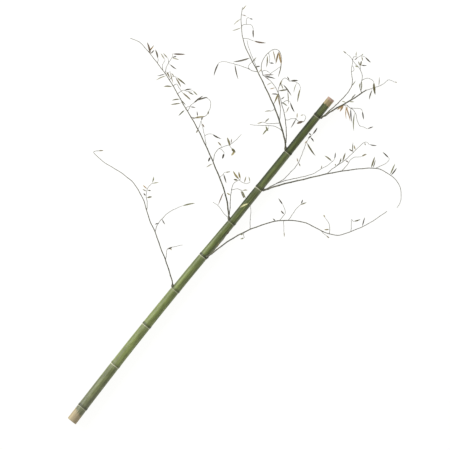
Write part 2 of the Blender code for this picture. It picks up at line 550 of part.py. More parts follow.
def nearest_on(routes, target):
    """The point of any of the routes that lies nearest in plan."""
    best = None
    for route in routes:
        for start, end in zip(route, route[1:]):
            span = (end - start).to_2d()
            share = (target - start.to_2d()).dot(span) / max(span.length_squared, 1e-12)
            point = start.lerp(end, min(1.0, max(0.0, share)))
            distance = (point.to_2d() - target).length
            if best is None or distance < best[0]:
                best = (distance, point)
    return best[1]


def tube(name, route, foot_radius, tip_radius, resolution):
    """A tapering tube as a mesh object, from a curve with a bevel."""
    curve = bpy.data.curves.new(name, "CURVE")
    curve.dimensions = "3D"
    curve.bevel_depth = 1.0
    curve.bevel_resolution = resolution
    curve.use_fill_caps = True
    spline = curve.splines.new("POLY")
    spline.points.add(len(route) - 1)
    for index, point in enumerate(route):
        share = index / (len(route) - 1)
        spline.points[index].co = (*point, 1.0)
        spline.points[index].radius = foot_radius + (tip_radius - foot_radius) * share
    drawn = bpy.data.objects.new(name + "_curve", curve)
    bpy.context.scene.collection.objects.link(drawn)
    mesh = evaluated_mesh(drawn, name)
    piece = bpy.data.objects.new(name, mesh)
    piece.matrix_world = drawn.matrix_world
    bpy.data.objects.remove(drawn)
    bpy.data.curves.remove(curve)
    welded = bmesh.new()
    welded.from_mesh(mesh)
    bmesh.ops.remove_doubles(welded, verts=welded.verts, dist=1e-6)
    bmesh.ops.recalc_face_normals(welded, faces=welded.faces)
    welded.to_mesh(mesh)
    welded.free()
    return piece


def blade_sections(root, base, tip, shape):
    """The four corners of a leaf's section at its root, and of those along its blade.

    A section's corners are its left edge, its upper rib, its right edge and its lower rib.
    """
    run = tip - base
    length = run.length
    aside = run.cross(Vector((0, 0, 1))).normalized()
    upward = aside.cross(run).normalized()
    stations = [(root, 0.0, 0.0)]
    for share, fullness in BLADE_OUTLINE:
        hump = 4 * share * (1 - share) * length
        centre = base + run * share + aside * hump * shape["bow"] + upward * hump * shape["arch"]
        stations.append((centre, share, fullness))
    if (base - root).length < SHORT_STALK:
        del stations[1]
    sections = []
    for centre, share, fullness in stations:
        roll = shape["roll"] + shape["twist"] * share
        across = aside * math.cos(roll) + upward * math.sin(roll)
        normal = upward * math.cos(roll) - aside * math.sin(roll)
        half = max(STALK_HALF_WIDTH, shape["width"] / 2 * fullness)
        left = centre - across * half + normal * half * shape["fold"]
        right = centre + across * half + normal * half * shape["fold"]
        rib = normal * BLADE_THICKNESS / 2
        sections.append((left, centre + rib, right, centre - rib))
    return sections


def blade(name, sections, tip):
    """A leaf as a closed loft through its sections to its tip, split alike on both faces."""
    mesh = bpy.data.meshes.new(name)
    sheet = bmesh.new()
    rows = [[sheet.verts.new(corner) for corner in section] for section in sections]
    point = sheet.verts.new(tip)
    for row, following in zip(rows, rows[1:]):
        for edge in (0, 2):
            for rib in (1, 3):
                sheet.faces.new((row[edge], following[rib], following[edge]))
                sheet.faces.new((row[edge], row[rib], following[rib]))
    first, last = rows[0], rows[-1]
    sheet.faces.new((first[0], first[1], first[3]))
    sheet.faces.new((first[2], first[1], first[3]))
    for edge, rib in ((0, 1), (1, 2), (2, 3), (3, 0)):
        sheet.faces.new((last[edge], last[rib], point))
    bmesh.ops.recalc_face_normals(sheet, faces=sheet.faces)
    sheet.to_mesh(mesh)
    sheet.free()
    return bpy.data.objects.new(name, mesh)


def leaf_shape(draw, width_mm):
    """The seeded variety of one leaf: its width, curl and slope."""
    return {
        "width": width_mm / 1000 * draw.uniform(0.9, 1.1),
        "bow": draw.uniform(-0.05, 0.05),
        "arch": draw.uniform(-0.02, 0.12),
        "roll": math.radians(draw.uniform(-28, 28)),
        "twist": math.radians(draw.uniform(-30, 30)),
        "fold": draw.uniform(0.10, 0.45),
        "slope": draw.uniform(-0.40, 0.12),
        "lift": draw.uniform(-0.1, 0.3),
    }


def leaf_blade(name, draw, routes, leaf):
    """One leaf, from the nearest twig to the leaf's tip."""
    *pixels, width_mm = leaf
    foot = nearest_on(routes, place(*pixels[:2]))
    base = Vector((*place(*pixels[:2]), foot.z))
    tip = Vector((*place(*pixels[2:]), foot.z))
    length = (tip - base).length
    shape = leaf_shape(draw, width_mm)
    stalk = base - foot
    outward = (tip - foot).normalized()
    if stalk.length < SHORTEST_STALK or stalk.dot(outward) < LEAST_STALK_LEAN * stalk.length:
        base = foot + outward * SHORTEST_STALK
    base.z += shape["lift"] * (base - foot).length
    tip.z = base.z + shape["slope"] * length
    root = foot - outward * ROOT_DEPTH
    corners = [corner for section in blade_sections(root, base, tip, shape)[1:] for corner in section]
    rise = max(0.0, LEAST_HEIGHT - min(corner.z for corner in corners + [tip]))
    base.z += rise
    tip.z += rise
    return blade(name, blade_sections(root, base, tip, shape), tip)


def collar(name, seat):
    """The swollen foot of a branch, which hugs the culm."""
    mesh = bpy.data.meshes.new(name)
    ball = bmesh.new()
    bmesh.ops.create_uvsphere(ball, u_segments=8, v_segments=6, radius=COLLAR_RADIUS)
    bmesh.ops.translate(ball, verts=ball.verts, vec=seat)
    ball.to_mesh(mesh)
    ball.free()
    return bpy.data.objects.new(name, mesh)


def seat_of(branch):
    """The point on the culm's side where a branch grows."""
    along = RINGS[branch["node"] - 1] + SEAT_PAST_RING
    lift = math.radians(branch["lift"])
    radius = bare_radius(along)
    left = branch["side"] * radius * math.cos(lift) + bow_at(along)
    return Vector((along, left, axis_height(along) + radius * math.sin(lift)))


def branch_pieces(name, branch):
    """The stem of a branch, then its collar, twigs and leaves, each a closed mesh."""
    draw = random.Random(name)
    seat = seat_of(branch)
    foot_mm, tip_mm, arch_mm, pixels = branch["stem"]
    stem_route = smooth_route(stem_points(seat, tip_mm, arch_mm, pixels), STEM_SPACING)
    stem = tube(name, stem_route, foot_mm / 1000, tip_mm / 1000, 1)
    routes = [stem_route]
    pieces = [collar(name + "_collar", seat)]
    for index, (twig_mm, middle_mm, end_mm, pixels) in enumerate(branch["twigs"]):
        foot = nearest_on(routes, place(*pixels[0]))
        route = smooth_route(twig_points(foot, middle_mm, end_mm, pixels), TWIG_SPACING)
        pieces.append(tube(f"{name}_twig_{index}", route, twig_mm / 1000, TWIG_TIP_RADIUS, 0))
        routes.append(route)
    for index, leaf in enumerate(branch["leaves"]):
        pieces.append(leaf_blade(f"{name}_leaf_{index}", draw, routes, leaf))
    return stem, pieces


def fuse(stem, pieces, seat_cutter):
    """Joins the pieces to the stem as one closed mesh, and cuts the foot to fit the culm."""
    joined = new_collection(stem.name + "_pieces")
    for piece in pieces:
        joined.objects.link(piece)
    union = stem.modifiers.new("join", "BOOLEAN")
    union.operation = "UNION"
    union.operand_type = "COLLECTION"
    union.collection = joined
    union.solver = "MANIFOLD"
    cut = stem.modifiers.new("seat", "BOOLEAN")
    cut.operation = "DIFFERENCE"
    cut.object = seat_cutter
    cut.solver = "MANIFOLD"
    fused = evaluated_mesh(stem, stem.name)
    stem.modifiers.clear()
    stem.data = fused
    fused.name = stem.name
    for piece in pieces:
        bpy.data.objects.remove(piece, do_unlink=True)
    bpy.data.collections.remove(joined)


def make_branch(name, branch, parts, seat_cutter, material):
    stem, pieces = branch_pieces(name, branch)
    parts.objects.link(stem)
    fuse(stem, pieces, seat_cutter)
    stem.data.materials.clear()
    stem.data.materials.append(material)
    stem.data.shade_smooth()
    stem.data.set_sharp_from_angle(angle=math.radians(40))
    return stem


def make_cane():
    clear_scene()
    parts = new_collection("bamboo_cane")
    cutters = new_collection("cutters")
    frame = bpy.data.objects.new("cane_frame", None)
    frame.location = (-ORIGIN_X, -ORIGIN_Y, 0.0)
    parts.objects.link(frame)
    seat_shape = turned_culm("seat_cutter", solid_outline(SEAT_GAP))
    seat_cutter = make_cutter(bpy.data.objects.new("seat_cutter", seat_shape), cutters)
    pieces = [make_culm(parts, cutters, new_material("culm", (0.17, 0.21, 0.075), 0.45))]
    for name, branch in BRANCHES.items():
        material = new_material(name, (0.30, 0.25, 0.13), 0.7)
        pieces.append(make_branch(name, branch, parts, seat_cutter, material))
    for obj in pieces + list(cutters.objects):
        obj.parent = frame


make_cane()
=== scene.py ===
"""The looks of the bamboo cane: a green culm with six dry leafy branches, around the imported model.

Metres, +Z up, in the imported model's frame. Shapes are laid out in the cane's own frame, which starts at the
butt, by the same rules and the same random draws as the part's source, and drawn more finely.
"""

import math
import random

import bmesh
import bpy
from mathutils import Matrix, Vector, noise


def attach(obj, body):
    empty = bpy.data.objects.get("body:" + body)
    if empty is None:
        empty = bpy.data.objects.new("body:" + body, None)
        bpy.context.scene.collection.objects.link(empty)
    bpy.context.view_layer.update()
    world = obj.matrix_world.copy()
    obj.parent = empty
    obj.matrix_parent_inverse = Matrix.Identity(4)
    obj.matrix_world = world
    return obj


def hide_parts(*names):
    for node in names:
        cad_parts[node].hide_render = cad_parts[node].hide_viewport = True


# The culm, as in the part's source.
CULM_LENGTH = 2.0
BUTT_RADIUS = 0.025
TIP_RADIUS = 0.0183
RINGS = (0.081, 0.338, 0.581, 0.802, 1.014, 1.226, 1.438, 1.660, 1.885)
RIDGE_HEIGHT = 0.0013
REST_FLAT_DEPTH = 0.00035
BOW = 0.0085
BOW_SPAN = 1.233
WALL_AT_BUTT = 0.0060
WALL_AT_TIP = 0.0042

# The outline of a node: distance past its ring, and height over the bare culm.
NODE_OUTLINE = (
    (-0.0100, 0.0),
    (-0.0015, -0.0005),
    (0.0002, RIDGE_HEIGHT),
    (0.0025, 0.0),
    (0.0055, RIDGE_HEIGHT),
    (0.0095, RIDGE_HEIGHT),
    (0.0170, 0.0002),
    (0.0300, 0.0),
)
RIDGE_START = 0.0055

# The shallow channel that a branch leaves in the internode above its node.
CHANNEL_DEPTH = 0.0016
CHANNEL_LENGTH = 0.110
CHANNEL_HALF_ANGLE = math.radians(48)

# The branches, as in the part's source.
SEAT_PAST_RING = 0.012
COLLAR_RADIUS = 0.0085
STEM_SPACING = 0.048
TWIG_SPACING = 0.034
STEM_TIP_GAP = 0.0004
ARCH_LEAN = 0.8
TWIG_TIP_RADIUS = 0.0009
LEAST_TWIG_HEIGHT = 0.003
STALK_RADIUS = 0.0006
SHORTEST_STALK = 0.004
LEAST_STALK_LEAN = 0.5
LEAST_HEIGHT = 0.0006
LEFT = 1
RIGHT = -1

# The middle of the footprint, in the cane's own frame.
ORIGIN_X = 1.130
ORIGIN_Y = 0.179

# The rounded bottom of a hollow: distance from its wall, and share of the hollow's radius.
HOLLOW_BOTTOM = ((0.0, 0.0), (0.0004, 0.35), (0.0012, 0.6), (0.003, 0.8), (0.006, 0.93), (0.011, 0.99))

# How far the edges of the sawn ends are rounded off, along the culm and across it.
END_ROUNDING = 0.0005
RIM_ROUNDING = 0.0006

# The knots of stems and twigs: their spacing, half their length, and how far the wood sways at them.
STEM_KNOT_SPACING = 0.034
TWIG_KNOT_SPACING = 0.019
KNOT_HALF_LENGTH = 0.0013
STEM_SWAY = 0.0006
TWIG_SWAY = 0.0005

# A leaf's blade: how full it is at shares of its length, then its thickness, least half width and veins.
BLADE_FULLNESS = ((0.0, 0.16), (0.18, 0.80), (0.45, 1.0), (0.78, 0.68), (1.0, 0.0))
BLADE_THICKNESS = 0.0004
LEAST_HALF_WIDTH = 0.0007
VEIN_SPACING = 0.00075

# How finely the culm is drawn: finest around the middle of each node, which lies past its ring.
CULM_SIDES = 72
NODE_MIDDLE = 0.004
NODE_REACH = 0.016
NODE_STEP = 0.0006
INTERNODE_STEP = 0.010
HOLLOW_STEPS = 14
SAWN_STEPS = 6

# How finely the branches are drawn: finest near each knot and each end of a stem or twig.
STEM_SIDES = 12
TWIG_SIDES = 8
STALK_SIDES = 6
FINE_STEP = 0.0015
ROUTE_STEP = 0.004
KNOT_REACH = 0.0032
END_REACH = 0.006
BLADE_SHARES = (0.0, 0.04, 0.09, 0.16, 0.24, 0.33, 0.43, 0.53, 0.63, 0.72, 0.80, 0.87, 0.93, 0.97)
BLADE_ACROSS = (-1.0, -0.72, -0.38, -0.08, 0.08, 0.38, 0.72, 1.0)

# The picture: a camera far above the cane, turned so that the culm runs from lower left to upper right.
CAMERA_HEIGHT = 20.0
VIEW_CENTRE = (0.072, -0.1617)
VIEW_WIDTH = 2.1735
VIEW_TURN = math.radians(-51.17)
SENSOR_WIDTH = 36.0

# The picture that the branches' places are read from: metres a pixel at their height, its turn from the
# culm, its middle pixel, and where that pixel falls in the cane's own frame.
PIXEL = 0.004816
PICTURE_TURN = math.radians(51.17)
PICTURE_MIDDLE = (225, 225)
MIDDLE_ALONG = 1.202
MIDDLE_LEFT = 0.0175

# A stem: radius at its foot and at its tip and height of its arch in millimetres, then its route in pixels.
# A twig: radius at its foot, rise half-way and rise at its tip in millimetres, then its route in pixels,
# whose first point is moved to the nearest place on what the twig grows from.
# A leaf: the pixel where its blade begins, the one where it ends, and its width in millimetres.
BRANCHES = {
    "branch_4": {
        "node": 4,
        "side": LEFT,
        "lift": 15,
        "stem": (2.9, 1.2, 66, (
            (171.7, 280), (165.8, 261), (160.3, 247), (155.3, 232.5), (150, 221), (147, 211.5),
            (143.8, 200.8), (139.3, 192), (133.5, 183), (126.5, 176.8), (119, 171.3), (110, 166),
            (102, 160.8), (95.5, 154.8), (93.2, 151.8), (96, 150.6), (101, 150.4))),
        "twigs": (
            (1.3, 12, 0, (
                (166, 260), (166.5, 254), (167, 249.7), (169.5, 247.8), (175, 246.6), (182.5, 245))),
            (1.5, 14, 0, (
                (155.2, 232), (156.5, 227), (159, 222.5), (162.5, 218.5), (168, 213), (174, 209.5),
                (182, 206))),
            (1.4, 12, 4, (
                (147, 211), (147.3, 203), (146.3, 196.5), (147, 190.5), (149, 186.3), (152.4, 183))),
            (1.0, 6, 4, ((162.2, 218.8), (162, 219.5), (163.3, 221.5))),
        ),
        "leaves": (
            (97.5, 150.7, 103, 150.3, 6), (167.3, 249.3, 172.2, 247.3, 6), (182, 206, 195.2, 203.2, 8),
            (158.8, 223, 155, 224.4, 6), (161.8, 218.8, 165.2, 224.3, 6), (146.8, 198, 152.2, 196.8, 8),
            (146.3, 196, 143.6, 193.3, 7), (146.8, 191.5, 142.6, 189, 6), (147.4, 189.3, 142.8, 185.2, 6),
            (147.2, 190.2, 151, 190.9, 6), (152.4, 183, 153.8, 176.6, 6), (151.8, 183.6, 158.9, 182.2, 6),
            (170, 247.7, 171.5, 250.3, 6),
        ),
    },
    "branch_5": {
        "node": 5,
        "side": RIGHT,
        "lift": 42,
        "stem": (3.3, 1.3, 62, (
            (214, 252), (220, 247.2), (226, 242.8), (233, 238.3), (242, 233.3), (251.6, 228.8),
            (261.2, 225.4), (270.8, 222.2), (279, 220.8), (288.4, 220.4), (299.6, 221.4), (308.4, 224),
            (317.2, 228.6), (326, 232.8), (331, 234.3), (339.7, 235.2), (348.8, 232.4), (360, 228),
            (369, 223.6), (379.4, 217), (387.5, 211.3))),
        "twigs": (
            (1.3, 8, 4, ((211, 254.3), (217, 247), (222.5, 240.5), (227, 234.5))),
            (1.3, 4, -22, ((250.3, 229.4), (250.2, 220), (250.9, 211), (250.3, 206), (248.6, 203.2))),
            (1.2, 10, 4, ((279.5, 220.6), (282.5, 217), (284.8, 214), (285, 210), (283, 205))),
            (1.3, 12, 0, ((288.5, 220.4), (293, 213.5), (297, 208), (301, 204.3))),
            (1.0, 6, -4, ((283.5, 220.8), (283.8, 226.5), (284, 232))),
            (1.2, 10, 2, ((329.5, 233.8), (329.9, 228), (328.5, 222.5), (325, 217.3))),
            (1.2, 8, 2, ((351.3, 231.3), (351.6, 225), (351.6, 219.5), (353.6, 221.6))),
            (1.0, 6, 2, ((320.5, 230.3), (324, 233.8), (326.5, 235.8))),
            (1.0, 5, 0, ((244, 232.3), (243.6, 235), (244.6, 237.6))),
        ),
        "leaves": (
            (248.2, 203.4, 239.8, 207.6, 8), (284.5, 214.6, 281, 210.6, 7), (283, 205, 278.4, 198.4, 7),
            (275.8, 221.2, 272.8, 218.6, 6), (301.2, 204.2, 302.7, 199.6, 6),
            (300.4, 205.2, 306.7, 202.5, 6), (284, 231, 284.4, 237, 4), (329.6, 229.2, 324.3, 229.7, 6),
            (353.6, 221.6, 360.8, 219.2, 7), (362.2, 226, 365.3, 217.3, 6), (326, 235.4, 329.5, 238, 6),
            (244, 234.2, 240.6, 234.8, 6), (244.6, 237.6, 240.3, 239.1, 6), (226.6, 235, 229.4, 231.6, 6),
            (217, 247, 218.6, 243.2, 6), (325.5, 218, 323.7, 214.8, 6),
        ),
    },
    "branch_6": {
        "node": 6,
        "side": LEFT,
        "lift": 12,
        "stem": (3.6, 1.3, 80, (
            (228.4, 212), (227.3, 203), (225.4, 194.5), (221.2, 181.5), (216.3, 169.8), (211.2, 157.5),
            (205, 144), (198, 129.5), (191, 117), (184, 105.5), (178, 94.5), (172, 84), (165.5, 73.8),
            (158.5, 64.5), (151.5, 55.2), (145.5, 48), (141, 43), (136, 39.8), (130, 37.4))),
        "twigs": (
            (2.1, 12, 24, (
                (229.3, 217), (230.1, 208), (230.4, 199), (231.4, 191), (233, 184.5), (236.5, 181.3),
                (240.6, 179))),
            (1.2, 2, -8, ((231.6, 190), (237, 188.8), (242.4, 190.4))),
            (1.1, 2, 0, ((239, 180), (243, 182.6), (246.5, 183.6), (250, 182.2))),
            (1.2, 8, 4, ((227.5, 219), (223.5, 213), (219, 206.5), (213, 202))),
            (1.5, 14, 4, (
                (213.3, 162), (214.3, 156), (216, 152), (219.3, 148.6), (224, 146.6), (230, 144.6),
                (235.5, 140.6), (241.3, 134.6))),
            (1.2, 8, 4, ((219.3, 148.6), (222, 150), (224.2, 153))),
            (1.3, 10, 4, ((206.3, 147), (205.4, 140), (204, 133), (202.6, 127), (201.3, 121))),
            (1.2, 6, 4, ((198, 129.5), (199.6, 126), (201, 121))),
            (1.4, 14, 2, (
                (191.2, 117.3), (198, 118.2), (205.3, 116.3), (209, 111), (210.8, 105), (209.6, 100),
                (205, 97.2))),
            (1.2, 8, 2, ((186, 108.8), (187.2, 107), (190, 106.6))),
            (1.3, 12, 4, ((187.5, 111.5), (190.5, 106), (193.5, 103.2), (197, 100.6))),
            (1.3, 12, 4, ((177.6, 94), (180.5, 91.5), (184, 90.2), (187.8, 91.6), (192.8, 90.6))),
            (1.3, 10, 4, ((173, 86), (176.4, 84), (179, 87.6), (182.4, 92.6))),
            (1.3, 10, 4, ((169.4, 79.8), (172.5, 76.6), (176.4, 77))),
            (1.4, 14, 4, (
                (165.2, 73), (166.4, 67), (168.6, 62.6), (170.8, 59.6), (172.3, 56), (172.3, 53.6))),
            (1.2, 8, 4, ((157, 62.8), (157.9, 60.5), (158, 58.6))),
            (1.2, 8, 4, ((163, 70.2), (162.4, 65.5), (165, 59.5))),
            (1.0, 6, 4, ((168.6, 62.6), (168.4, 60.4), (168, 58.4))),
            (1.0, 6, 4, ((166.2, 74.6), (168.4, 72.6), (170.2, 71.4))),
            (1.0, 6, 2, ((204.5, 136), (208, 134.2), (212, 134.2))),
            (1.0, 2, -2, ((229, 145), (230.6, 147.2), (233, 149.6), (235.4, 151.6))),
            (1.0, 6, 2, ((219.4, 177.4), (222.4, 175), (224.6, 172.4))),
        ),
        "leaves": (
            (151.7, 52.8, 146.8, 41.6, 9), (150.8, 53.4, 154, 49.6, 7), (149.2, 50.6, 153.6, 44.8, 6),
            (158, 58.8, 155.1, 49.1, 8), (165, 59.6, 160.6, 53.2, 6), (168, 58.4, 163.3, 53, 6),
            (172.3, 53.7, 185.5, 54.2, 8), (171.8, 57.4, 176.6, 55.9, 6), (172, 57.8, 179, 59.8, 6),
            (170.2, 64.4, 176.7, 69.2, 6), (165.9, 73.2, 157.2, 75.7, 5), (165.4, 75.8, 156.1, 79.9, 5),
            (166.5, 71.6, 169.6, 78, 7), (170.2, 71.4, 173.2, 83, 5), (176.5, 77, 185.7, 84.5, 8),
            (175.4, 76.8, 181, 87, 7), (171.6, 86.5, 163.6, 86.4, 7), (184, 90.2, 191.8, 89.1, 7),
            (187.6, 92.6, 193.7, 94.7, 6), (192.8, 90.6, 197.5, 95.2, 6), (181.2, 92.8, 190.8, 100, 8),
            (182.6, 98.6, 185.8, 105, 4), (193, 103.8, 203.3, 95.6, 8), (197.5, 100.3, 208, 97.2, 8),
            (205.9, 109.5, 208, 114.8, 8), (205.3, 116.3, 191.5, 119.2, 7), (190, 106.8, 195.6, 107.9, 6),
            (179.4, 99.2, 171.8, 100.4, 6), (180.3, 103.2, 170.6, 104.6, 6), (184.2, 110.4, 178.4, 116, 7),
            (198.2, 129.2, 196, 133, 7), (201.9, 123.4, 204.2, 127.6, 6), (201.3, 121, 202.4, 117, 6),
            (212.2, 134.1, 221.5, 139, 8), (221.2, 145.7, 217.6, 141.8, 7), (230, 147, 227.1, 137.4, 11),
            (231.2, 148, 235.5, 152.8, 13), (235.2, 151.2, 231.4, 155.8, 11),
            (231.4, 144, 231.9, 138.8, 6), (224.3, 153, 222.4, 159, 9), (210.8, 156.4, 208.3, 161.8, 9),
            (212.2, 164, 206.3, 167.4, 6), (231, 195.4, 226.8, 192.8, 7), (223.6, 174, 226.4, 183.5, 7),
            (224.6, 172.4, 230.4, 171.4, 5), (239.4, 179.6, 233.1, 170.7, 11),
            (241, 178.8, 238.8, 171.6, 9), (238.2, 180.2, 233.6, 179.2, 8), (244, 183.6, 246.2, 176.2, 6),
            (250, 182.2, 248.8, 176.6, 5), (242, 190.5, 245.9, 198.2, 8), (240.6, 190, 244.3, 198.6, 8),
            (223, 193.4, 218.2, 205.2, 6), (242.6, 190, 247.6, 190.2, 6), (197.6, 116, 197, 111.4, 5),
            (174.4, 76.6, 171.4, 73.2, 5),
        ),
    },
    "branch_7": {
        "node": 7,
        "side": RIGHT,
        "lift": 14,
        "stem": (3.9, 1.0, 66, (
            (266, 189.6), (272, 187.4), (280, 185), (290, 182.4), (300, 180.2), (310, 177.8), (320, 175.4),
            (330, 173.3), (340, 171.5), (350, 170), (360, 168.8), (370, 168.1), (377, 168.4), (383, 170.4),
            (390, 174.6), (396, 179.5), (399.5, 184.5), (401.3, 190), (401.8, 197), (400.5, 203),
            (397.6, 207.8))),
        "twigs": (
            (2.0, 10, 10, (
                (265, 189.8), (275, 184.2), (285, 180.7), (295, 178.4), (305, 176.2), (314, 173.4),
                (321, 169), (328, 165.2), (332.6, 161.3), (334.7, 159.4))),
            (1.6, 12, -2, (
                (277, 183.8), (284, 179), (290, 172.8), (295, 167.6), (298.8, 162), (302, 154.5),
                (304.8, 147), (307, 141.5), (309.5, 137.6), (312.6, 134.4))),
            (1.6, 14, -2, (
                (327, 173.9), (332, 169.2), (338, 165.1), (345, 160.1), (351, 154.6), (356, 149.7),
                (361, 145), (364.5, 142.3), (367, 142.3), (369.2, 144.6))),
            (1.4, 12, 0, (
                (341.5, 171.2), (345.5, 167), (348.5, 163), (350.7, 159.6), (354.5, 157.3), (361, 156.8))),
            (1.2, 8, 2, ((376, 168.2), (380, 166.2), (384.5, 164.2), (389, 160.6), (389.3, 158))),
            (1.0, 5, 2, ((336.8, 166), (338.6, 163.6), (341.5, 160.2))),
        ),
        "leaves": (
            (332.4, 161.3, 324.8, 155.6, 7), (334.7, 159.4, 335.7, 152.2, 6), (299, 163, 297.2, 158, 6),
            (299, 162.6, 300.3, 166.4, 5), (307.5, 142.4, 315.8, 155.8, 9),
            (310.4, 136.6, 313.9, 141.6, 7), (312, 135, 308.2, 138.2, 8), (311.6, 135.4, 309.2, 133, 8),
            (312.8, 134.2, 317.6, 127.2, 7), (339.4, 164.2, 341.2, 158, 7), (342, 161.8, 345.5, 152.4, 7),
            (355.3, 150.2, 353.9, 145.2, 6), (352.6, 152.8, 353.1, 142.4, 6),
            (353.6, 151.8, 349.1, 149, 6), (336.2, 166.6, 335, 164, 6), (361, 157, 367, 154, 7),
            (369.1, 144.5, 376.8, 145.6, 6), (371.2, 167.8, 375, 156.6, 8),
            (389.4, 158.2, 382.8, 151.8, 7), (391.2, 175.6, 397.2, 167.6, 7),
            (390.6, 174.6, 395.5, 163.4, 7), (308, 140.2, 305, 143.4, 5), (364.6, 142.3, 365.6, 145.4, 5),
            (345, 160.1, 348.4, 162.4, 5), (321, 169, 322.2, 165.4, 5),
            (373, 167.8, 375.6, 159.4, 6),
        ),
    },
    "branch_8": {
        "node": 8,
        "side": LEFT,
        "lift": 12,
        "stem": (4.1, 1.3, 72, (
            (285.3, 142), (284.4, 137.5), (281.6, 127.8), (278.4, 117.8), (275, 108.6), (271, 99.4),
            (266.5, 89.8), (261.6, 79.5), (256.6, 69.4), (251.6, 59.8), (247.6, 51.6), (244.4, 43.8),
            (242.6, 36), (241.6, 28), (241.2, 19), (241.6, 12.5), (242.5, 6.6))),
        "twigs": (
            (2.3, 12, 16, (
                (286.3, 145.5), (286.5, 138), (286.4, 130), (285.6, 121), (284.2, 112.5), (282, 104.6),
                (280, 97), (276.4, 88.6), (272, 82.2), (267, 77.8), (262.6, 75))),
            (1.6, 8, 2, (
                (263.4, 75.6), (261.3, 68), (263, 59.8), (268, 53), (273.8, 49.2), (278.6, 50.2),
                (281.4, 55.4), (281.6, 62.5), (280.2, 69.5), (278.4, 76.4))),
            (1.6, 8, 4, (
                (279.4, 121.2), (280.4, 112), (279.8, 103), (278.6, 95), (278.4, 89.6), (279.2, 87))),
            (1.2, 6, 2, ((285.4, 119.6), (288, 119.8), (291.4, 118.6), (296.4, 118.4))),
            (1.2, 10, 0, ((295.4, 118.4), (299.4, 121.4), (303.6, 121.6), (306, 117), (304, 114.4))),
            (1.4, 6, 2, (
                (283, 131.8), (280, 129), (275.6, 126.6), (269.5, 125.5), (258, 125.3), (250, 124.4))),
            (1.3, 6, 2, ((280.6, 122.4), (277.6, 123.2), (268.4, 123.6), (264.6, 122.4), (260.8, 122.2))),
            (1.2, 6, 2, ((275.4, 108.2), (272.8, 110.6), (270.4, 111.3))),
            (1.4, 8, 2, (
                (258, 71.6), (253, 71.1), (249.6, 69.4), (244, 67), (233.6, 63.8), (224, 61.6),
                (218.8, 62.5))),
            (1.1, 4, 2, ((249.6, 69.4), (248.4, 66.4), (251.4, 62.6), (255.4, 60))),
            (1.1, 4, 6, ((259, 74.2), (255.8, 65.4), (251.6, 55.4), (248.4, 46.6), (247, 40.4))),
            (1.2, 8, 2, ((243.2, 38.2), (246.8, 38.2), (250.4, 39.4), (253.6, 40.6))),
            (1.2, 8, 2, ((241.6, 26.2), (243.6, 24.2), (247.6, 24), (251.6, 24.6), (253.4, 28.4))),
            (1.0, 4, 2, ((246.6, 24.2), (246.4, 20), (247.8, 17.2), (249.4, 17.8))),
            (1.0, 4, 2, ((267.5, 78.2), (270.6, 73.6), (276, 69.6), (281, 66.2))),
            (1.0, 4, 2, ((262, 71.4), (265.6, 70.2), (270.6, 73.4))),
            (1.3, 10, 2, ((278.7, 88.6), (281.8, 80.4), (285.4, 78.2), (290, 81.4))),
            (1.0, 6, 2, ((289.2, 80.8), (295.6, 82), (299.2, 84.4), (300.6, 88.2))),
            (1.2, 6, 0, ((281.6, 103.6), (286.4, 100.4), (290.2, 101.6))),
            (1.0, 4, 0, ((279.2, 91.2), (283.8, 89.4), (287.6, 90))),
            (1.0, 2, 2, ((268.6, 52.6), (269.8, 57.5), (269.2, 62.6))),
        ),
        "leaves": (
            (240.8, 18, 233.6, 24.4, 5), (241.4, 27.2, 232.3, 30.2, 5), (249.3, 17.8, 252.8, 18.8, 6),
            (253.4, 28.2, 253.6, 37.4, 8), (253.4, 40.5, 266.2, 42.6, 8), (250, 58, 232.8, 61.7, 9),
            (219, 62.4, 213.9, 76.2, 7), (234.8, 64.2, 238.3, 79.6, 7), (255.6, 66.7, 260.2, 66, 6),
            (278.6, 51, 275.8, 63.8, 9), (279.8, 51, 281.6, 64.5, 10), (281.9, 60, 278.8, 75.5, 5),
            (267.4, 55.6, 266.4, 67.2, 6), (262.6, 75.2, 274.4, 74.6, 7), (263.6, 76, 275.6, 78.4, 7),
            (264.6, 76.4, 270, 80.4, 5), (273.4, 50.4, 275.4, 61, 5), (279.2, 87, 282.4, 79.8, 7),
            (289.4, 81.6, 298.4, 80.6, 8), (300.5, 88, 297.6, 102, 7), (283.6, 85, 291.6, 96, 7),
            (279, 91, 287.8, 89.8, 6), (279.4, 94, 271.4, 93.8, 7), (278.6, 92.6, 274, 103.8, 6),
            (278.8, 93.4, 276.2, 100, 6), (279.3, 93.6, 280.8, 108, 8), (287.8, 91.6, 288.7, 103.8, 5),
            (290.2, 101.6, 294.8, 112, 7), (281.6, 101.6, 287.4, 105.9, 6), (276.8, 94.6, 273.2, 105, 5),
            (272, 111, 264.6, 111.6, 5), (264.8, 122.2, 269.4, 118.2, 7), (268.8, 128, 262.6, 135, 7),
            (265.6, 125.4, 268.4, 131.2, 8), (296.4, 118.4, 291, 127.6, 6),
            (304.6, 121.4, 296.8, 123.6, 12), (297.2, 117.4, 297.6, 112.8, 5),
            (304, 114.4, 300.8, 115.4, 5), (262.4, 122.3, 257.4, 123.6, 5), (242, 14, 246.6, 15.6, 4),
            (241.8, 9.5, 246.4, 4.6, 4), (258.6, 73, 262, 68.6, 5), (296, 84.4, 293.8, 92.4, 4),
            (275.6, 87.4, 269.6, 88.8, 4), (283.4, 90, 281, 84.2, 5), (286.6, 112, 289.4, 106.4, 4),
            (252.4, 62, 256.4, 57.4, 4), (280.6, 99.4, 284.6, 96.6, 5),
            (269.3, 63.5, 274, 63.2, 7), (289.6, 81, 287.2, 76.6, 6), (272.2, 82.4, 267.2, 85, 5),
        ),
    },
    "branch_9": {
        "node": 9,
        "side": RIGHT,
        "lift": 18,
        "stem": (4.1, 2.6, 40, (
            (326, 115), (330, 112), (336, 108.4), (342, 105.2), (348, 101.8), (354, 98.1), (359, 94.9),
            (363, 92.1), (366.8, 89.6))),
        "twigs": (
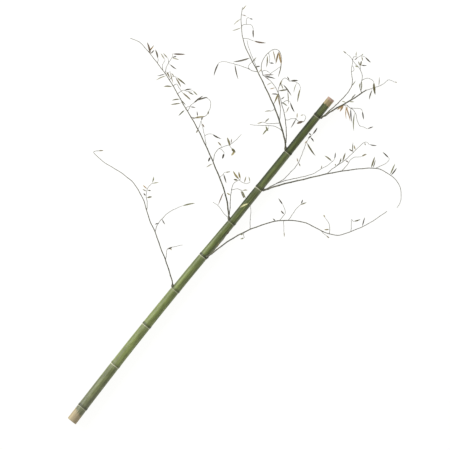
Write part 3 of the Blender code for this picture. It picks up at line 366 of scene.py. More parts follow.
            (2.6, 16, 28, (
                (323.6, 115.6), (330, 110.1), (335, 106), (340, 101.1), (345, 96), (349, 91),
                (351.5, 86.6), (352.6, 82), (352.2, 76), (351.5, 70.5), (352.4, 64.4), (352.8, 60.2),
                (350.6, 57), (347, 53.8))),
            (1.3, 4, 2, (
                (366.2, 90), (371, 88.4), (376, 86.7), (380, 85.5), (384, 83.4), (387, 80.8),
                (390, 79.3), (395.2, 81.4))),
            (1.6, 12, 8, (
                (362.3, 92.4), (360.8, 89), (360.5, 85.5), (361.6, 82), (362.6, 78.5), (362.4, 74),
                (361, 70), (358.8, 66.6), (355.5, 63), (352.8, 59.4))),
            (1.2, 6, 4, ((352.8, 60.2), (354, 56.6), (358, 57.2), (361, 55.6), (365, 56.6))),
            (1.2, 6, 0, ((362.6, 80.4), (365.5, 78.3), (369, 78), (372.4, 79.4), (374.2, 81.4))),
            (1.5, 8, -8, (
                (341.6, 105.6), (346.6, 105), (350, 107.6), (353.6, 110), (356.3, 115), (357.6, 121),
                (360, 125.6), (364, 127), (367.4, 128.8))),
            (1.2, 4, -4, ((350.6, 108), (356, 108.2), (360.8, 108.7), (362.5, 110.6))),
            (1.0, 4, 0, ((360.6, 69.4), (360.8, 67.4), (360.2, 65.4))),
            (1.0, 4, 4, ((351.6, 71.5), (353.8, 70.6), (353.9, 67.6), (352.5, 65.6))),
            (1.1, 4, 2, ((349, 101.4), (352, 98.4), (355.6, 94.4))),
        ),
        "leaves": (
            (362.4, 90.6, 362.2, 80.6, 6), (360.6, 88.8, 359.9, 82.8, 6), (360.4, 66.2, 361.8, 60.2, 7),
            (360, 65.6, 358.9, 60.8, 6), (361.6, 56, 363.2, 60.8, 5), (361.4, 64.6, 367.2, 65.1, 6),
            (365, 56.7, 371.1, 62.4, 7), (356.2, 56.6, 356.7, 51.4, 6), (347, 53.8, 343.4, 50.8, 6),
            (359.2, 66.8, 355.4, 65.4, 6), (374.2, 81.4, 375.8, 94.6, 12), (372.6, 90, 369.8, 99.2, 6),
            (379.3, 85.6, 379.9, 76.4, 5), (351, 98.9, 355.9, 93.8, 6), (346.8, 102.8, 342, 101, 5),
            (349, 101.6, 354.6, 101.8, 5), (353.2, 86.8, 355.8, 80.4, 4), (362.5, 110.6, 363.9, 119.4, 7),
            (344.6, 106.4, 337, 110, 9), (343.4, 106.4, 340, 111.6, 8), (345.6, 106.4, 350.6, 121.2, 7),
            (346.4, 107, 346.4, 119, 5), (347.2, 105.8, 348, 113, 6), (350.4, 108.6, 352.4, 122.6, 7),
            (354.6, 113.6, 354.1, 130.8, 6), (367.4, 128.8, 373.8, 126.5, 6), (358, 57.2, 354.6, 59.8, 5),
            (361.2, 55.8, 363.4, 53.6, 4), (395, 81.3, 397.6, 82, 5),
        ),
    },
}


SKIN, CUT, INSIDE = 0, 1, 2
UP = Vector((0.0, 0.0, 1.0))

# Dry leaf colours: how common each is, and its screen values.
LEAF_TINTS = {
    "tan": (4, (146, 134, 98)),
    "olive": (5, (112, 108, 70)),
    "dark": (4, (64, 58, 44)),
    "gold": (1, (144, 118, 66)),
    "straw": (3, (140, 129, 82)),
    "brown": (2, (92, 72, 52)),
    "pale": (2, (152, 150, 132)),
    "sage": (2, (132, 134, 98)),
    "cream": (0, (208, 206, 158)),
    "amber": (0, (176, 146, 104)),
}

# Leaves that stand out in the photo, by their numbers in their branch's list. The others draw a colour.
NOTED_LEAVES = {
    "branch_4": {"dark": (3, 4, 6), "sage": (2, 10, 11)},
    "branch_5": {"cream": (0,), "dark": (1, 2, 3, 4, 9), "olive": (5, 8)},
    "branch_6": {
        "gold": (2,),
        "dark": (1, 3, 7, 9, 10, 17, 22, 23, 26, 33, 39, 40),
        "brown": (0, 6),
        "pale": (4, 5, 8),
        "olive": (11, 14, 16, 18, 24, 27, 35, 36, 47),
        "tan": (12, 13, 15, 20),
        "straw": (25, 37, 45, 46, 48),
        "sage": (29, 49, 50),
    },
    "branch_7": {"olive": (0, 4, 10, 14, 17, 25), "dark": (1, 5, 6, 7, 8, 16, 18, 19), "sage": (9, 12, 20)},
    "branch_8": {
        "dark": (2, 3, 5, 6, 7, 8, 14, 18, 20, 22, 27, 34, 48, 49),
        "gold": (9, 10, 25),
        "brown": (4, 13, 15, 35),
        "olive": (12, 19, 21),
        "straw": (11, 17, 23, 24, 29),
        "pale": (0, 1, 30, 31, 50),
        "sage": (32, 33),
    },
    "branch_9": {
        "olive": (2, 3, 10),
        "dark": (6, 11, 17, 23),
        "amber": (18, 19, 20, 21, 22),
        "sage": (0, 1, 13, 14, 15),
        "pale": (7, 8, 12),
    },
}
STEM_TINT = (70, 72, 53)
TWIG_TINT = (98, 92, 73)

# How pale the ring and how dark the ridge is at each node, from the butt on.
RING_PALENESS = (0.50, 0.90, 0.70, 0.45, 0.65, 0.32, 0.80, 0.42, 0.38)
RIDGE_DARKNESS = (0.75, 0.30, 0.75, 0.60, 1.00, 0.70, 0.60, 0.90, 1.00)

# Nodes at which the culm's tone changes: where the change starts and ends, and the factor before and after.
TONE_STEPS = ((0.31, 0.37, 0.76, 1.0), (1.42, 1.46, 1.0, 1.30), (1.64, 1.68, 1.0, 0.72))

# How far the dried tan reaches from each end.
TAN_AT_BUTT = 0.052
TAN_AT_TIP = 0.040


def linear(red, green, blue):
    """A colour in linear light, from its 0 to 255 screen values."""
    return tuple(((value / 255 + 0.055) / 1.055) ** 2.4 for value in (red, green, blue))


def smoothstep(low, high, value):
    share = min(1.0, max(0.0, (value - low) / (high - low)))
    return share * share * (3 - 2 * share)


def blend(first, second, share):
    return tuple(a + (b - a) * share for a, b in zip(first, second))


class Shades:
    """A material, with short calls that add nodes to it. Each call returns the socket of its result."""

    def __init__(self, name):
        self.material = bpy.data.materials.new(name)
        self.material.use_nodes = True
        self.nodes = self.material.node_tree.nodes
        self.shader = self.nodes["Principled BSDF"]

    def put(self, socket, value):
        """Joins a result to a socket, or sets the socket to a number or a colour."""
        if isinstance(value, bpy.types.NodeSocket):
            self.material.node_tree.links.new(value, socket)
        elif socket.type == "RGBA":
            socket.default_value = (*value, 1.0)
        else:
            socket.default_value = value

    def attribute(self, name, output="Vector"):
        node = self.nodes.new("ShaderNodeAttribute")
        node.attribute_name = name
        return node.outputs[output]

    def split(self, vector):
        node = self.nodes.new("ShaderNodeSeparateXYZ")
        self.put(node.inputs[0], vector)
        return node.outputs[0], node.outputs[1], node.outputs[2]

    def stretched(self, vector, stretch):
        node = self.nodes.new("ShaderNodeVectorMath")
        node.operation = "MULTIPLY"
        self.put(node.inputs[0], vector)
        self.put(node.inputs[1], stretch)
        return node.outputs[0]

    def noise(self, vector, stretch, detail=3.0, roughness=0.55):
        node = self.nodes.new("ShaderNodeTexNoise")
        self.put(node.inputs["Vector"], self.stretched(vector, stretch))
        self.put(node.inputs["Scale"], 1.0)
        self.put(node.inputs["Detail"], detail)
        self.put(node.inputs["Roughness"], roughness)
        return node.outputs[0]

    def cells(self, vector, stretch):
        """The distance to the middle of the nearest of many small cells."""
        node = self.nodes.new("ShaderNodeTexVoronoi")
        self.put(node.inputs["Vector"], self.stretched(vector, stretch))
        self.put(node.inputs["Scale"], 1.0)
        return node.outputs["Distance"]

    def math(self, operation, first, second=0.0, third=0.0):
        node = self.nodes.new("ShaderNodeMath")
        node.operation = operation
        for socket, value in zip(node.inputs, (first, second, third)):
            self.put(socket, value)
        return node.outputs[0]

    def product(self, first, *others):
        for other in others:
            first = self.math("MULTIPLY", first, other)
        return first

    def between(self, value, low, high, at_low=0.0, at_high=1.0):
        """A smooth step from one number at low to another at high, which may be the smaller of the two."""
        node = self.nodes.new("ShaderNodeMapRange")
        node.interpolation_type = "SMOOTHSTEP"
        if low > high:
            low, high, at_low, at_high = high, low, at_high, at_low
        for socket, number in zip(node.inputs, (value, low, high, at_low, at_high)):
            self.put(socket, number)
        return node.outputs[0]

    def mix(self, share, first, second, mode="MIX"):
        node = self.nodes.new("ShaderNodeMix")
        node.data_type = "RGBA"
        node.blend_type = mode
        self.put(node.inputs[0], share)
        self.put(node.inputs[6], first)
        self.put(node.inputs[7], second)
        return node.outputs[2]

    def tinted(self, share, colour, factor):
        """A colour with a share of it multiplied by a factor for each channel."""
        return self.mix(share, colour, self.mix(1.0, colour, factor, "MULTIPLY"))

    def bump(self, height, distance, below=None):
        node = self.nodes.new("ShaderNodeBump")
        self.put(node.inputs["Height"], height)
        self.put(node.inputs["Distance"], distance)
        if below is not None:
            self.put(node.inputs["Normal"], below)
        return node.outputs[0]

    def set(self, **values):
        """Sets the shader's sockets, named in lower case with underscores."""
        for label, value in values.items():
            title = label.replace("_", " ").title().replace("Ior", "IOR")
            self.put(self.shader.inputs[title], value)


class Grain:
    """What the skin's material reads: the place in the grain, and noises drawn out along it."""

    def __init__(self, m):
        place = m.attribute("grain")
        self.along, self.left, _ = m.split(place)
        self.fibres = m.noise(place, (9, 900, 900))
        self.lines = m.noise(place, (1.6, 210, 210), 2.0)
        self.streaks = m.noise(place, (2.2, 150, 150), 4.0)
        self.patches = m.noise(place, (6, 30, 30), 4.0)
        self.mottle = m.noise(place, (22, 75, 75), 4.0)
        self.flecks = m.noise(place, (90, 420, 420), 2.0)


def fresh_green(m, at):
    """The skin's green with its streaks, fibres and flecks, greyer and darker towards the tip, with painted
    shade on the left of its upper half.
    """
    green = m.mix(m.between(at.along, 0.2, 1.6), linear(118, 130, 71), linear(77, 88, 44))
    green = m.tinted(m.between(at.streaks, 0.35, 0.68), green, (1.25, 1.22, 1.15))
    green = m.mix(m.between(at.patches, 0.50, 0.72, 0.0, 0.55), green, linear(92, 98, 60))
    green = m.tinted(m.between(at.fibres, 0.30, 0.70, 0.0, 0.35), green, (0.72, 0.74, 0.68))
    green = m.mix(m.between(at.flecks, 0.66, 0.74, 0.0, 0.45), green, linear(150, 150, 118))
    green = m.mix(m.between(at.lines, 0.56, 0.64, 0.0, 0.45), green, linear(146, 156, 104))
    green = m.tinted(m.between(at.lines, 0.44, 0.36, 0.0, 0.45), green, (0.66, 0.70, 0.58))
    upper = m.between(at.along, 1.0, 1.5)
    green = m.mix(m.product(upper, 0.14), green, linear(98, 95, 84))
    # Painted shade: the left side of the upper culm darkened.
    return m.tinted(m.product(upper, m.between(at.left, -0.004, 0.014)), green, (0.33, 0.37, 0.30))


def green_with_painted_light(m, at, green):
    """The green with its grey butt, the tone of each internode, and painted light and shade along its sides.
    """
    # Painted reflection: the right edge of the upper culm made greyer and lighter, in patches.
    painted_reflection = m.product(m.between(at.along, 0.8, 1.3), m.between(at.left, -0.006, -0.017))
    painted_reflection = m.product(painted_reflection, m.between(at.patches, 0.30, 0.60, 0.45, 0.80))
    green = m.mix(painted_reflection, green, linear(118, 122, 98))
    grey = m.product(m.between(at.along, 0.5, 0.0), m.between(at.patches, 0.30, 0.60, 0.5, 0.9))
    green = m.mix(grey, green, linear(124, 126, 98))
    tone_and_painted_light = m.product(*(m.between(at.along, *step) for step in TONE_STEPS))
    tone_and_painted_light = m.product(tone_and_painted_light, m.between(at.mottle, 0.36, 0.64, 0.84, 1.16))
    # Painted shade: the culm's left edge darker along its whole length.
    tone_and_painted_light = m.product(tone_and_painted_light, m.between(at.left, 0.006, 0.015, 1.0, 0.80))
    # Painted highlight: a lighter band just inside the left edge, from the middle of the culm towards its
    # tip.
    painted_highlight = m.product(m.between(at.left, -0.002, 0.004), m.between(at.left, 0.013, 0.008))
    painted_highlight = m.product(painted_highlight, m.between(at.along, 0.5, 0.9))
    tone_and_painted_light = m.product(tone_and_painted_light, m.math("MULTIPLY_ADD", painted_highlight, 0.24, 1.0))
    return m.mix(1.0, green, tone_and_painted_light, "MULTIPLY")


def dried_butt(m, at):
    """Where the butt has dried, with a ragged edge, and its tan."""
    edge = m.math("MULTIPLY_ADD", at.left, 0.35, TAN_AT_BUTT)
    edge = m.math("MULTIPLY_ADD", m.math("SUBTRACT", at.lines, 0.5), 0.05, edge)
    tan = m.mix(m.between(at.streaks, 0.35, 0.65), linear(178, 164, 130), linear(158, 144, 112))
    tan = m.mix(m.between(at.fibres, 0.35, 0.70, 0.0, 0.5), tan, linear(136, 122, 94))
    return m.between(m.math("SUBTRACT", edge, at.along), -0.006, 0.006), tan


def dried_tip(m, at):
    """Where the tip has dried, and its tan, which is redder at the saw cut, with painted light on its right
    side.
    """
    edge = m.math("MULTIPLY_ADD", at.left, 0.10, CULM_LENGTH - TAN_AT_TIP)
    edge = m.math("MULTIPLY_ADD", m.math("SUBTRACT", at.streaks, 0.5), 0.018, edge)
    tan = m.mix(m.between(at.streaks, 0.35, 0.65), linear(150, 137, 104), linear(130, 116, 84))
    tan = m.mix(m.between(at.along, CULM_LENGTH - 0.018, CULM_LENGTH - 0.008), tan, linear(160, 136, 122))
    # Painted light: the tan on the right side of the tip lightened.
    tan = m.tinted(m.between(at.left, 0.004, -0.014, 0.0, 0.6), tan, (1.7, 1.7, 1.7))
    return m.between(m.math("SUBTRACT", at.along, edge), -0.002, 0.002), tan


def skin_material():
    """Green bamboo skin with pale rings, dark ridges, waxy bloom, dried ends, and painted light and shade on
    its sides.
    """
    m = Shades("green_skin")
    at = Grain(m)
    ring, ridge, bloom = m.split(m.attribute("marks"))
    green = green_with_painted_light(m, at, fresh_green(m, at))
    dusty = m.product(bloom, m.between(at.patches, 0.30, 0.60, 0.02, 0.16))
    green = m.mix(dusty, green, linear(168, 172, 146))
    dark = m.product(ridge, m.between(at.streaks, 0.30, 0.60, 0.95, 0.72))
    green = m.mix(dark, green, linear(35, 36, 23))
    butt, butt_tan = dried_butt(m, at)
    tip, tip_tan = dried_tip(m, at)
    colour = m.mix(butt, green, butt_tan)
    colour = m.mix(tip, colour, tip_tan)
    rough_ring = m.between(at.flecks, 0.35, 0.60, 0.70, 1.0)
    colour = m.mix(m.product(ring, rough_ring), colour, linear(208, 204, 182))
    dry = m.math("MAXIMUM", m.math("MAXIMUM", butt, tip), m.math("MAXIMUM", dusty, ring))
    gloss = m.math("ADD", m.between(at.patches, 0.3, 0.7, 0.44, 0.54), m.product(dry, 0.24))
    relief = m.bump(at.streaks, 0.00025, m.bump(at.fibres, 0.00012))
    shine = m.between(at.along, 0.9, 1.5, 0.5, 0.18)
    m.set(base_color=colour, roughness=gloss, normal=relief, specular_ior_level=shine)
    return m.material


def cut_material():
    """A sawn end: straw wood with the dark dots of its fibre bundles, closest together near the skin."""
    m = Shades("cut_wood")
    grain = m.attribute("grain")
    _, left, up = m.split(grain)
    radius = m.math("SQRT", m.math("ADD", m.product(left, left), m.product(up, up)))
    patches = m.noise(grain, (60, 160, 160))
    saw = m.noise(grain, (100, 90, 1800))
    fine = m.cells(grain, (1, 1500, 1500))
    coarse = m.cells(grain, (1, 800, 800))
    straw = m.mix(m.between(patches, 0.35, 0.65), linear(206, 184, 146), linear(184, 158, 118))
    dots = m.product(m.between(coarse, 0.40, 0.22), m.between(radius, 0.0235, 0.020))
    rim = m.product(m.between(fine, 0.55, 0.30), m.between(radius, 0.017, 0.023))
    colour = m.mix(m.math("MAXIMUM", dots, rim), straw, linear(118, 84, 52))
    colour = m.mix(m.between(saw, 0.52, 0.70, 0.0, 0.35), colour, linear(222, 204, 172))
    relief = m.bump(saw, 0.00015)
    m.set(base_color=colour, roughness=m.between(patches, 0.3, 0.7, 0.68, 0.84), normal=relief)
    return m.material


def inside_material():
    """The hollow's wall: papery pale tan with faint lines along the grain, browner towards its bottom."""
    m = Shades("hollow_wall")
    grain = m.attribute("grain")
    depth, _, _ = m.split(m.attribute("marks"))
    lines = m.noise(grain, (12, 420, 420), 4.0)
    stains = m.noise(grain, (40, 90, 90), 4.0)
    colour = m.mix(m.between(lines, 0.35, 0.65), linear(214, 198, 164), linear(188, 166, 128))
    colour = m.mix(m.between(stains, 0.50, 0.72, 0.0, 0.55), colour, linear(146, 116, 80))
    colour = m.mix(m.product(depth, 0.5), colour, linear(136, 110, 78))
    relief = m.bump(lines, 0.0003)
    m.set(base_color=colour, roughness=m.between(stains, 0.3, 0.7, 0.66, 0.86), normal=relief)
    return m.material


def bark_material():
    """A branch's own skin: its tint with fine lines along the grain, lichen grey patches and dark knots."""
    m = Shades("branch_bark")
    grain = m.attribute("grain")
    knot, _, _ = m.split(m.attribute("marks"))
    tint = m.attribute("tint", "Color")
    lines = m.noise(grain, (60, 1500, 1500))
    patches = m.noise(grain, (45, 160, 160), 4.0)
    colour = m.mix(m.between(patches, 0.38, 0.66, 0.0, 0.55), tint, linear(134, 130, 112))
    colour = m.tinted(m.between(lines, 0.35, 0.65, 0.0, 0.5), colour, (0.55, 0.55, 0.52))
    colour = m.mix(m.product(knot, 0.7), colour, linear(62, 50, 36))
    relief = m.bump(lines, 0.00012)
    m.set(base_color=colour, roughness=m.between(patches, 0.3, 0.7, 0.50, 0.74), normal=relief)
    return m.material


def leaf_material():
    """A dry leaf: its tint with parallel veins, a pale rib, burnt tip and edges, and a crinkled surface."""
    m = Shades("dry_leaf")
    grain = m.attribute("grain")
    across, _, _ = m.split(grain)
    edge, share, under = m.split(m.attribute("marks"))
    tint = m.attribute("tint", "Color")
    veins = m.math("SINE", m.product(across, math.tau / VEIN_SPACING))
    patches = m.noise(grain, (220, 55, 3), 4.0)
    specks = m.noise(grain, (1300, 420, 3), 2.0)
    colour = m.tinted(m.between(patches, 0.35, 0.65, 0.0, 0.6), tint, (0.68, 0.64, 0.57))
    colour = m.tinted(m.between(veins, 0.2, 1.0, 0.0, 0.22), colour, (0.5, 0.48, 0.42))
    burnt = m.math("ADD", m.product(share, 0.62), m.product(edge, 0.38))
    burnt = m.math("ADD", burnt, m.product(m.math("SUBTRACT", patches, 0.5), 0.9))
    colour = m.mix(m.between(burnt, 0.72, 1.05, 0.0, 0.60), colour, linear(80, 66, 48))
    colour = m.mix(m.between(specks, 0.66, 0.74, 0.0, 0.6), colour, linear(62, 52, 40))
    colour = m.mix(m.product(under, 0.25), colour, linear(196, 186, 152))
    colour = m.mix(m.between(edge, 0.16, 0.06, 0.0, 0.35), colour, linear(196, 184, 146))
    relief = m.bump(veins, 0.00006)
    relief = m.bump(patches, 0.0006, relief)
    m.set(base_color=colour, roughness=m.between(patches, 0.3, 0.7, 0.52, 0.74), normal=relief)
    return m.material


def floor_material():
    """A pale table lit through from below, so that it stays near white under the cane as in the photo."""
    m = Shades("pale_floor")
    place = m.nodes.new("ShaderNodeNewGeometry").outputs["Position"]
    colour = m.mix(m.noise(place, (3, 3, 3)), (0.06, 0.06, 0.06), (0.08, 0.08, 0.08))
    m.set(base_color=colour, roughness=0.9, emission_color=(1.0, 1.0, 0.985), emission_strength=0.94)
    return m.material


class Shell:
    """The points and faces of a piece while it is made, with what its material reads at each point."""

    def __init__(self):
        self.points = []
        self.faces = []
        self.looks = []
        self.grain = []
        self.marks = []
        self.tint = []

    def point(self, place, grain, marks=(0.0, 0.0, 0.0), tint=(1.0, 1.0, 1.0)):
        """Adds a point given in the cane's own frame, and returns its number."""
        self.points.append((place[0] - ORIGIN_X, place[1] - ORIGIN_Y, max(0.0, place[2])))
        self.grain.extend(grain)
        self.marks.extend(marks)
        self.tint.extend((*tint, 1.0))
        return len(self.points) - 1

    def band(self, row, following, look=0):
        """Faces from a closed row of points to the next, where either may be a single point."""
        count = max(len(row), len(following))
        for here in range(count):
            there = (here + 1) % count
            if len(row) == 1:
                self.faces.append((row[0], following[there], following[here]))
            elif len(following) == 1:
                self.faces.append((row[here], row[there], following[0]))
            else:
                self.faces.append((row[here], row[there], following[there], following[here]))
            self.looks.append(look)

    def piece(self, name, materials, sharp_angle):
        mesh = bpy.data.meshes.new(name)
        mesh.from_pydata(self.points, [], self.faces)
        mesh.polygons.foreach_set("material_index", self.looks)
        for label, kind, field, values in (
            ("grain", "FLOAT_VECTOR", "vector", self.grain),
            ("marks", "FLOAT_VECTOR", "vector", self.marks),
            ("tint", "FLOAT_COLOR", "color", self.tint),
        ):
            mesh.attributes.new(label, kind, "POINT").data.foreach_set(field, values)
        outward = bmesh.new()
        outward.from_mesh(mesh)
        bmesh.ops.recalc_face_normals(outward, faces=outward.faces)
        outward.to_mesh(mesh)
        outward.free()
        for material in materials:
            mesh.materials.append(material)
        mesh.shade_smooth()
        mesh.set_sharp_from_angle(angle=math.radians(sharp_angle))
        made = bpy.data.objects.new(name, mesh)
        bpy.context.scene.collection.objects.link(made)
        return made


def bare_radius(along):
    """The culm's radius between its nodes."""
    return BUTT_RADIUS + (TIP_RADIUS - BUTT_RADIUS) * along / CULM_LENGTH


def bow_at(along):
    """How far the culm's axis leans to the left of a straight line from end to end."""
    return BOW * math.sin(math.pi * along / BOW_SPAN) if along < BOW_SPAN else 0.0


def axis_height(along):
    """The height of the culm's axis, with its node ridges pressed a little into the surface below."""
    return bare_radius(along) + RIDGE_HEIGHT - REST_FLAT_DEPTH


def channel_depth(along, angle):
    """The depth of the branch channels at a distance along the culm and an angle above its left side."""
    depth = 0.0
    for branch in BRANCHES.values():
        past = along - RINGS[branch["node"] - 1] - RIDGE_START
        if not 0 < past < CHANNEL_LENGTH:
            continue
        lift = math.radians(branch["lift"])
        centre = lift if branch["side"] == LEFT else math.pi - lift
        away = abs(math.remainder(angle - centre, math.tau)) / CHANNEL_HALF_ANGLE
        if away < 1:
            fade = min(1.0, past / 0.008) * (1 - past / CHANNEL_LENGTH)
            depth += CHANNEL_DEPTH * fade * math.cos(away * math.pi / 2) ** 2
    return depth


def node_height(past):
    """The culm's height over its bare radius at a distance past a ring."""
    for (start, low), (end, high) in zip(NODE_OUTLINE, NODE_OUTLINE[1:]):
        if start <= past < end:
            return low + (high - low) * smoothstep(start, end, past)
    return 0.0


def rough(along, angle, fineness, seed):
    """A smooth random number of about -1 to 1 at a place on a round surface."""
    place = (math.cos(angle) * fineness, math.sin(angle) * fineness, along * fineness * 40 + seed)
    return noise.noise(Vector(place))


def node_marks(index, past, angle, unevenness):
    """How much pale ring, dark ridge and waxy bloom there is at a distance past a ring."""
    ring = smoothstep(-0.0022, -0.0008, past) * (1 - smoothstep(0.0012, 0.0030, past))
    ridge = smoothstep(0.0018, 0.0042, past) * (1 - smoothstep(0.0085, 0.0180 + 0.006 * unevenness, past))
    # The ridge's dark is real, but it is made darker on the culm's left and right sides than on top and
    # underneath: painted shade.
    ridge *= RIDGE_DARKNESS[index] * (0.70 + 0.6 * abs(math.cos(angle)))
    bloom = smoothstep(-0.0420 - 0.012 * unevenness, -0.0020, past) * (1 - smoothstep(-0.0012, 0.0, past))
    return ring * RING_PALENESS[index], min(1.0, ridge), bloom * bloom * RING_PALENESS[index]


def skin_row(shell, along):
    """A ring of points on the culm's skin."""
    index = min(range(len(RINGS)), key=lambda number: abs(along - RINGS[number] - NODE_MIDDLE))
    row = []
    for side in range(CULM_SIDES):
        angle = math.tau * side / CULM_SIDES
        unevenness = rough(0.0, angle, 1.3, 7.1 * index)
        past = along - RINGS[index] - 0.0008 * unevenness
        ragged = 1 + 0.22 * rough(0.0, angle, 9.0, 3.3 * index) if abs(past) < 0.0025 else 1.0
        bare = bare_radius(along)
        radius = bare + node_height(past) * ragged - channel_depth(along, angle)
        radius += 0.00012 * rough(along, angle, 1.0, 0.5)
        marks = node_marks(index, past, angle, unevenness)
        row.append(culm_point(shell, along, angle, radius, bare, marks))
    return row


def culm_point(shell, along, angle, radius, grain_radius, marks):
    across, up = math.cos(angle), math.sin(angle)
    place = (along, radius * across + bow_at(along), axis_height(along) + radius * up)
    return shell.point(place, (along, grain_radius * across, grain_radius * up), marks)


def plain_row(shell, along, radius, unevenness, depth=0.0):
    """A ring of points inside an end of the culm or on its sawn face, or the one point in the middle."""
    if radius == 0:
        return [culm_point(shell, along, 0.0, 0.0, 0.0, (depth, 0.0, 0.0))]
    row = []
    inwards = 1 if along < CULM_LENGTH / 2 else -1
    for side in range(CULM_SIDES):
        angle = math.tau * side / CULM_SIDES
        uneven = rough(along, angle, 2.0 + radius * 300, 11.0)
        place = along + unevenness * (1 + uneven) * inwards
        out = radius + 0.3 * unevenness * uneven
        row.append(culm_point(shell, place, angle, out, radius, (depth, 0.0, 0.0)))
    return row


def skin_stations():
    """Distances along the culm's skin, close together at the nodes and further apart between them."""
    stations = []
    along = END_ROUNDING
    while along < CULM_LENGTH - 2 * END_ROUNDING:
        stations.append(along)
        away = min(abs(along - ring - NODE_MIDDLE) for ring in RINGS)
        widened = NODE_STEP + (away - NODE_REACH) * 0.25
        along += NODE_STEP if away < NODE_REACH else min(INTERNODE_STEP, widened)
    return [*stations, CULM_LENGTH - END_ROUNDING]


def hollow_rows(shell, end, wall, radius):
    """Rings of points from the middle of the wall across the culm to the rim of the hollow at its end."""
    towards = -1 if end < wall else 1
    rows = []
    for back, share in HOLLOW_BOTTOM:
        rows.append(plain_row(shell, wall + towards * back, radius * share, 0.0003, 1.0))
    rounded = wall + towards * HOLLOW_BOTTOM[-1][0]
    for step in range(1, HOLLOW_STEPS):
        share = step / HOLLOW_STEPS
        rows.append(plain_row(shell, rounded + (end - rounded) * share, radius, 0.0003, 1 - share))
    return rows


def sawn_rows(shell, end, inner, outer):
    """Rings of points across the sawn face of an end, from its inner edge to its outer edge."""
    step = (outer - RIM_ROUNDING - inner) / SAWN_STEPS
    return [plain_row(shell, end, inner + step * number, 0.0001) for number in range(SAWN_STEPS + 1)]


def make_culm():
    shell = Shell()
    hollow_butt = BUTT_RADIUS - WALL_AT_BUTT
    hollow_tip = TIP_RADIUS - WALL_AT_TIP
    rows = [(row, INSIDE) for row in hollow_rows(shell, 0.0, RINGS[0] - 0.002, hollow_butt)]
    rows += [(row, CUT) for row in sawn_rows(shell, 0.0, hollow_butt, BUTT_RADIUS)]
    rows += [(skin_row(shell, along), SKIN) for along in skin_stations()]
    tip_rows = [(row, CUT) for row in sawn_rows(shell, CULM_LENGTH, hollow_tip, TIP_RADIUS)]
    inner_rows = [(row, INSIDE) for row in hollow_rows(shell, CULM_LENGTH, RINGS[-1] + 0.012, hollow_tip)]
    rows += tip_rows[::-1] + inner_rows[::-1]
    for (row, look), (following, next_look) in zip(rows, rows[1:]):
        shell.band(row, following, CUT if CUT in (look, next_look) else next_look)
    return shell.piece("culm_skin", (skin_material(), cut_material(), inside_material()), 38)


def smooth_route(points, spacing):
    """Points about one spacing apart on a smooth curve through the given ones."""
    given = [Vector(point) for point in points]
    ends = [given[0] * 2 - given[1], *given, given[-1] * 2 - given[-2]]
    route = []
    for a, b, c, d in zip(ends, ends[1:], ends[2:], ends[3:]):
        steps = max(1, round((c - b).length / spacing))
        for step in range(steps):
            t = step / steps
            square = (2 * a - 5 * b + 4 * c - d) * t * t
            cube = (3 * b - a - 3 * c + d) * t * t * t
            route.append((2 * b + (c - a) * t + square + cube) / 2)
    return route + [given[-1]]


def place(across, down):
    """Where a pixel of the picture falls, in the cane's own frame."""
    right = (across - PICTURE_MIDDLE[0]) * PIXEL
    up = (PICTURE_MIDDLE[1] - down) * PIXEL
    along = MIDDLE_ALONG + right * math.cos(PICTURE_TURN) + up * math.sin(PICTURE_TURN)
    left = MIDDLE_LEFT - right * math.sin(PICTURE_TURN) + up * math.cos(PICTURE_TURN)
    return Vector((along, left))


def raised(flat, height_at):
    """The points of a flat route, each at the height for its share of the way."""
    reached = [0.0]
    for start, end in zip(flat, flat[1:]):
        reached.append(reached[-1] + (end - start).length)
    return [(*point, height_at(reach / reached[-1])) for point, reach in zip(flat, reached)]


def stem_points(seat, tip_mm, arch_mm, pixels):
    """A stem's points, in an arch from its seat to just over the surface at its tip."""
    tip_height = tip_mm / 1000 + STEM_TIP_GAP

    def height_at(share):
        straight = seat.z + (tip_height - seat.z) * share
        return straight + arch_mm / 1000 * math.sin(math.pi * share**ARCH_LEAN)

    return raised([seat.to_2d()] + [place(*pixel) for pixel in pixels], height_at)


def twig_points(foot, middle_mm, tip_mm, pixels):
    """A twig's points, from its foot through its rise half-way to its rise at its tip."""

    def height_at(share):
        rise = 4 * middle_mm * share * (1 - share) + tip_mm * share * (2 * share - 1)
        return max(LEAST_TWIG_HEIGHT, foot.z + rise / 1000)

    return [foot, *raised([foot.to_2d()] + [place(*pixel) for pixel in pixels[1:]], height_at)[1:]]


def nearest_on(routes, target):
    """The point of any of the routes that lies nearest in plan, and the number of its route."""
    best = None
    for number, route in enumerate(routes):
        for start, end in zip(route, route[1:]):
            span = (end - start).to_2d()
            share = (target - start.to_2d()).dot(span) / max(span.length_squared, 1e-12)
            point = start.lerp(end, min(1.0, max(0.0, share)))
            distance = (point.to_2d() - target).length
            if best is None or distance < best[0]:
                best = (distance, point, number)
    return best[1], best[2]


def drawn_point(route, point):
    """The point of a finely drawn route that lies nearest to a point."""
    return min(route, key=lambda place: (place - point).length_squared)


def walked(route):
    """The distance from the start of a route to each of its points."""
    distances = [0.0]
    for start, end in zip(route, route[1:]):
        distances.append(distances[-1] + (end - start).length)
    return distances


def knots_of(length, spacing, draw):
    """Distances of the knots along a stem or twig, closer together near its foot."""
    knots = []
    reach = spacing * 0.35
    while reach < length - spacing * 0.3:
        knots.append(reach)
        reach += spacing * draw.uniform(0.75, 1.25) * min(1.0, 0.45 + reach / (spacing * 3))
    return knots


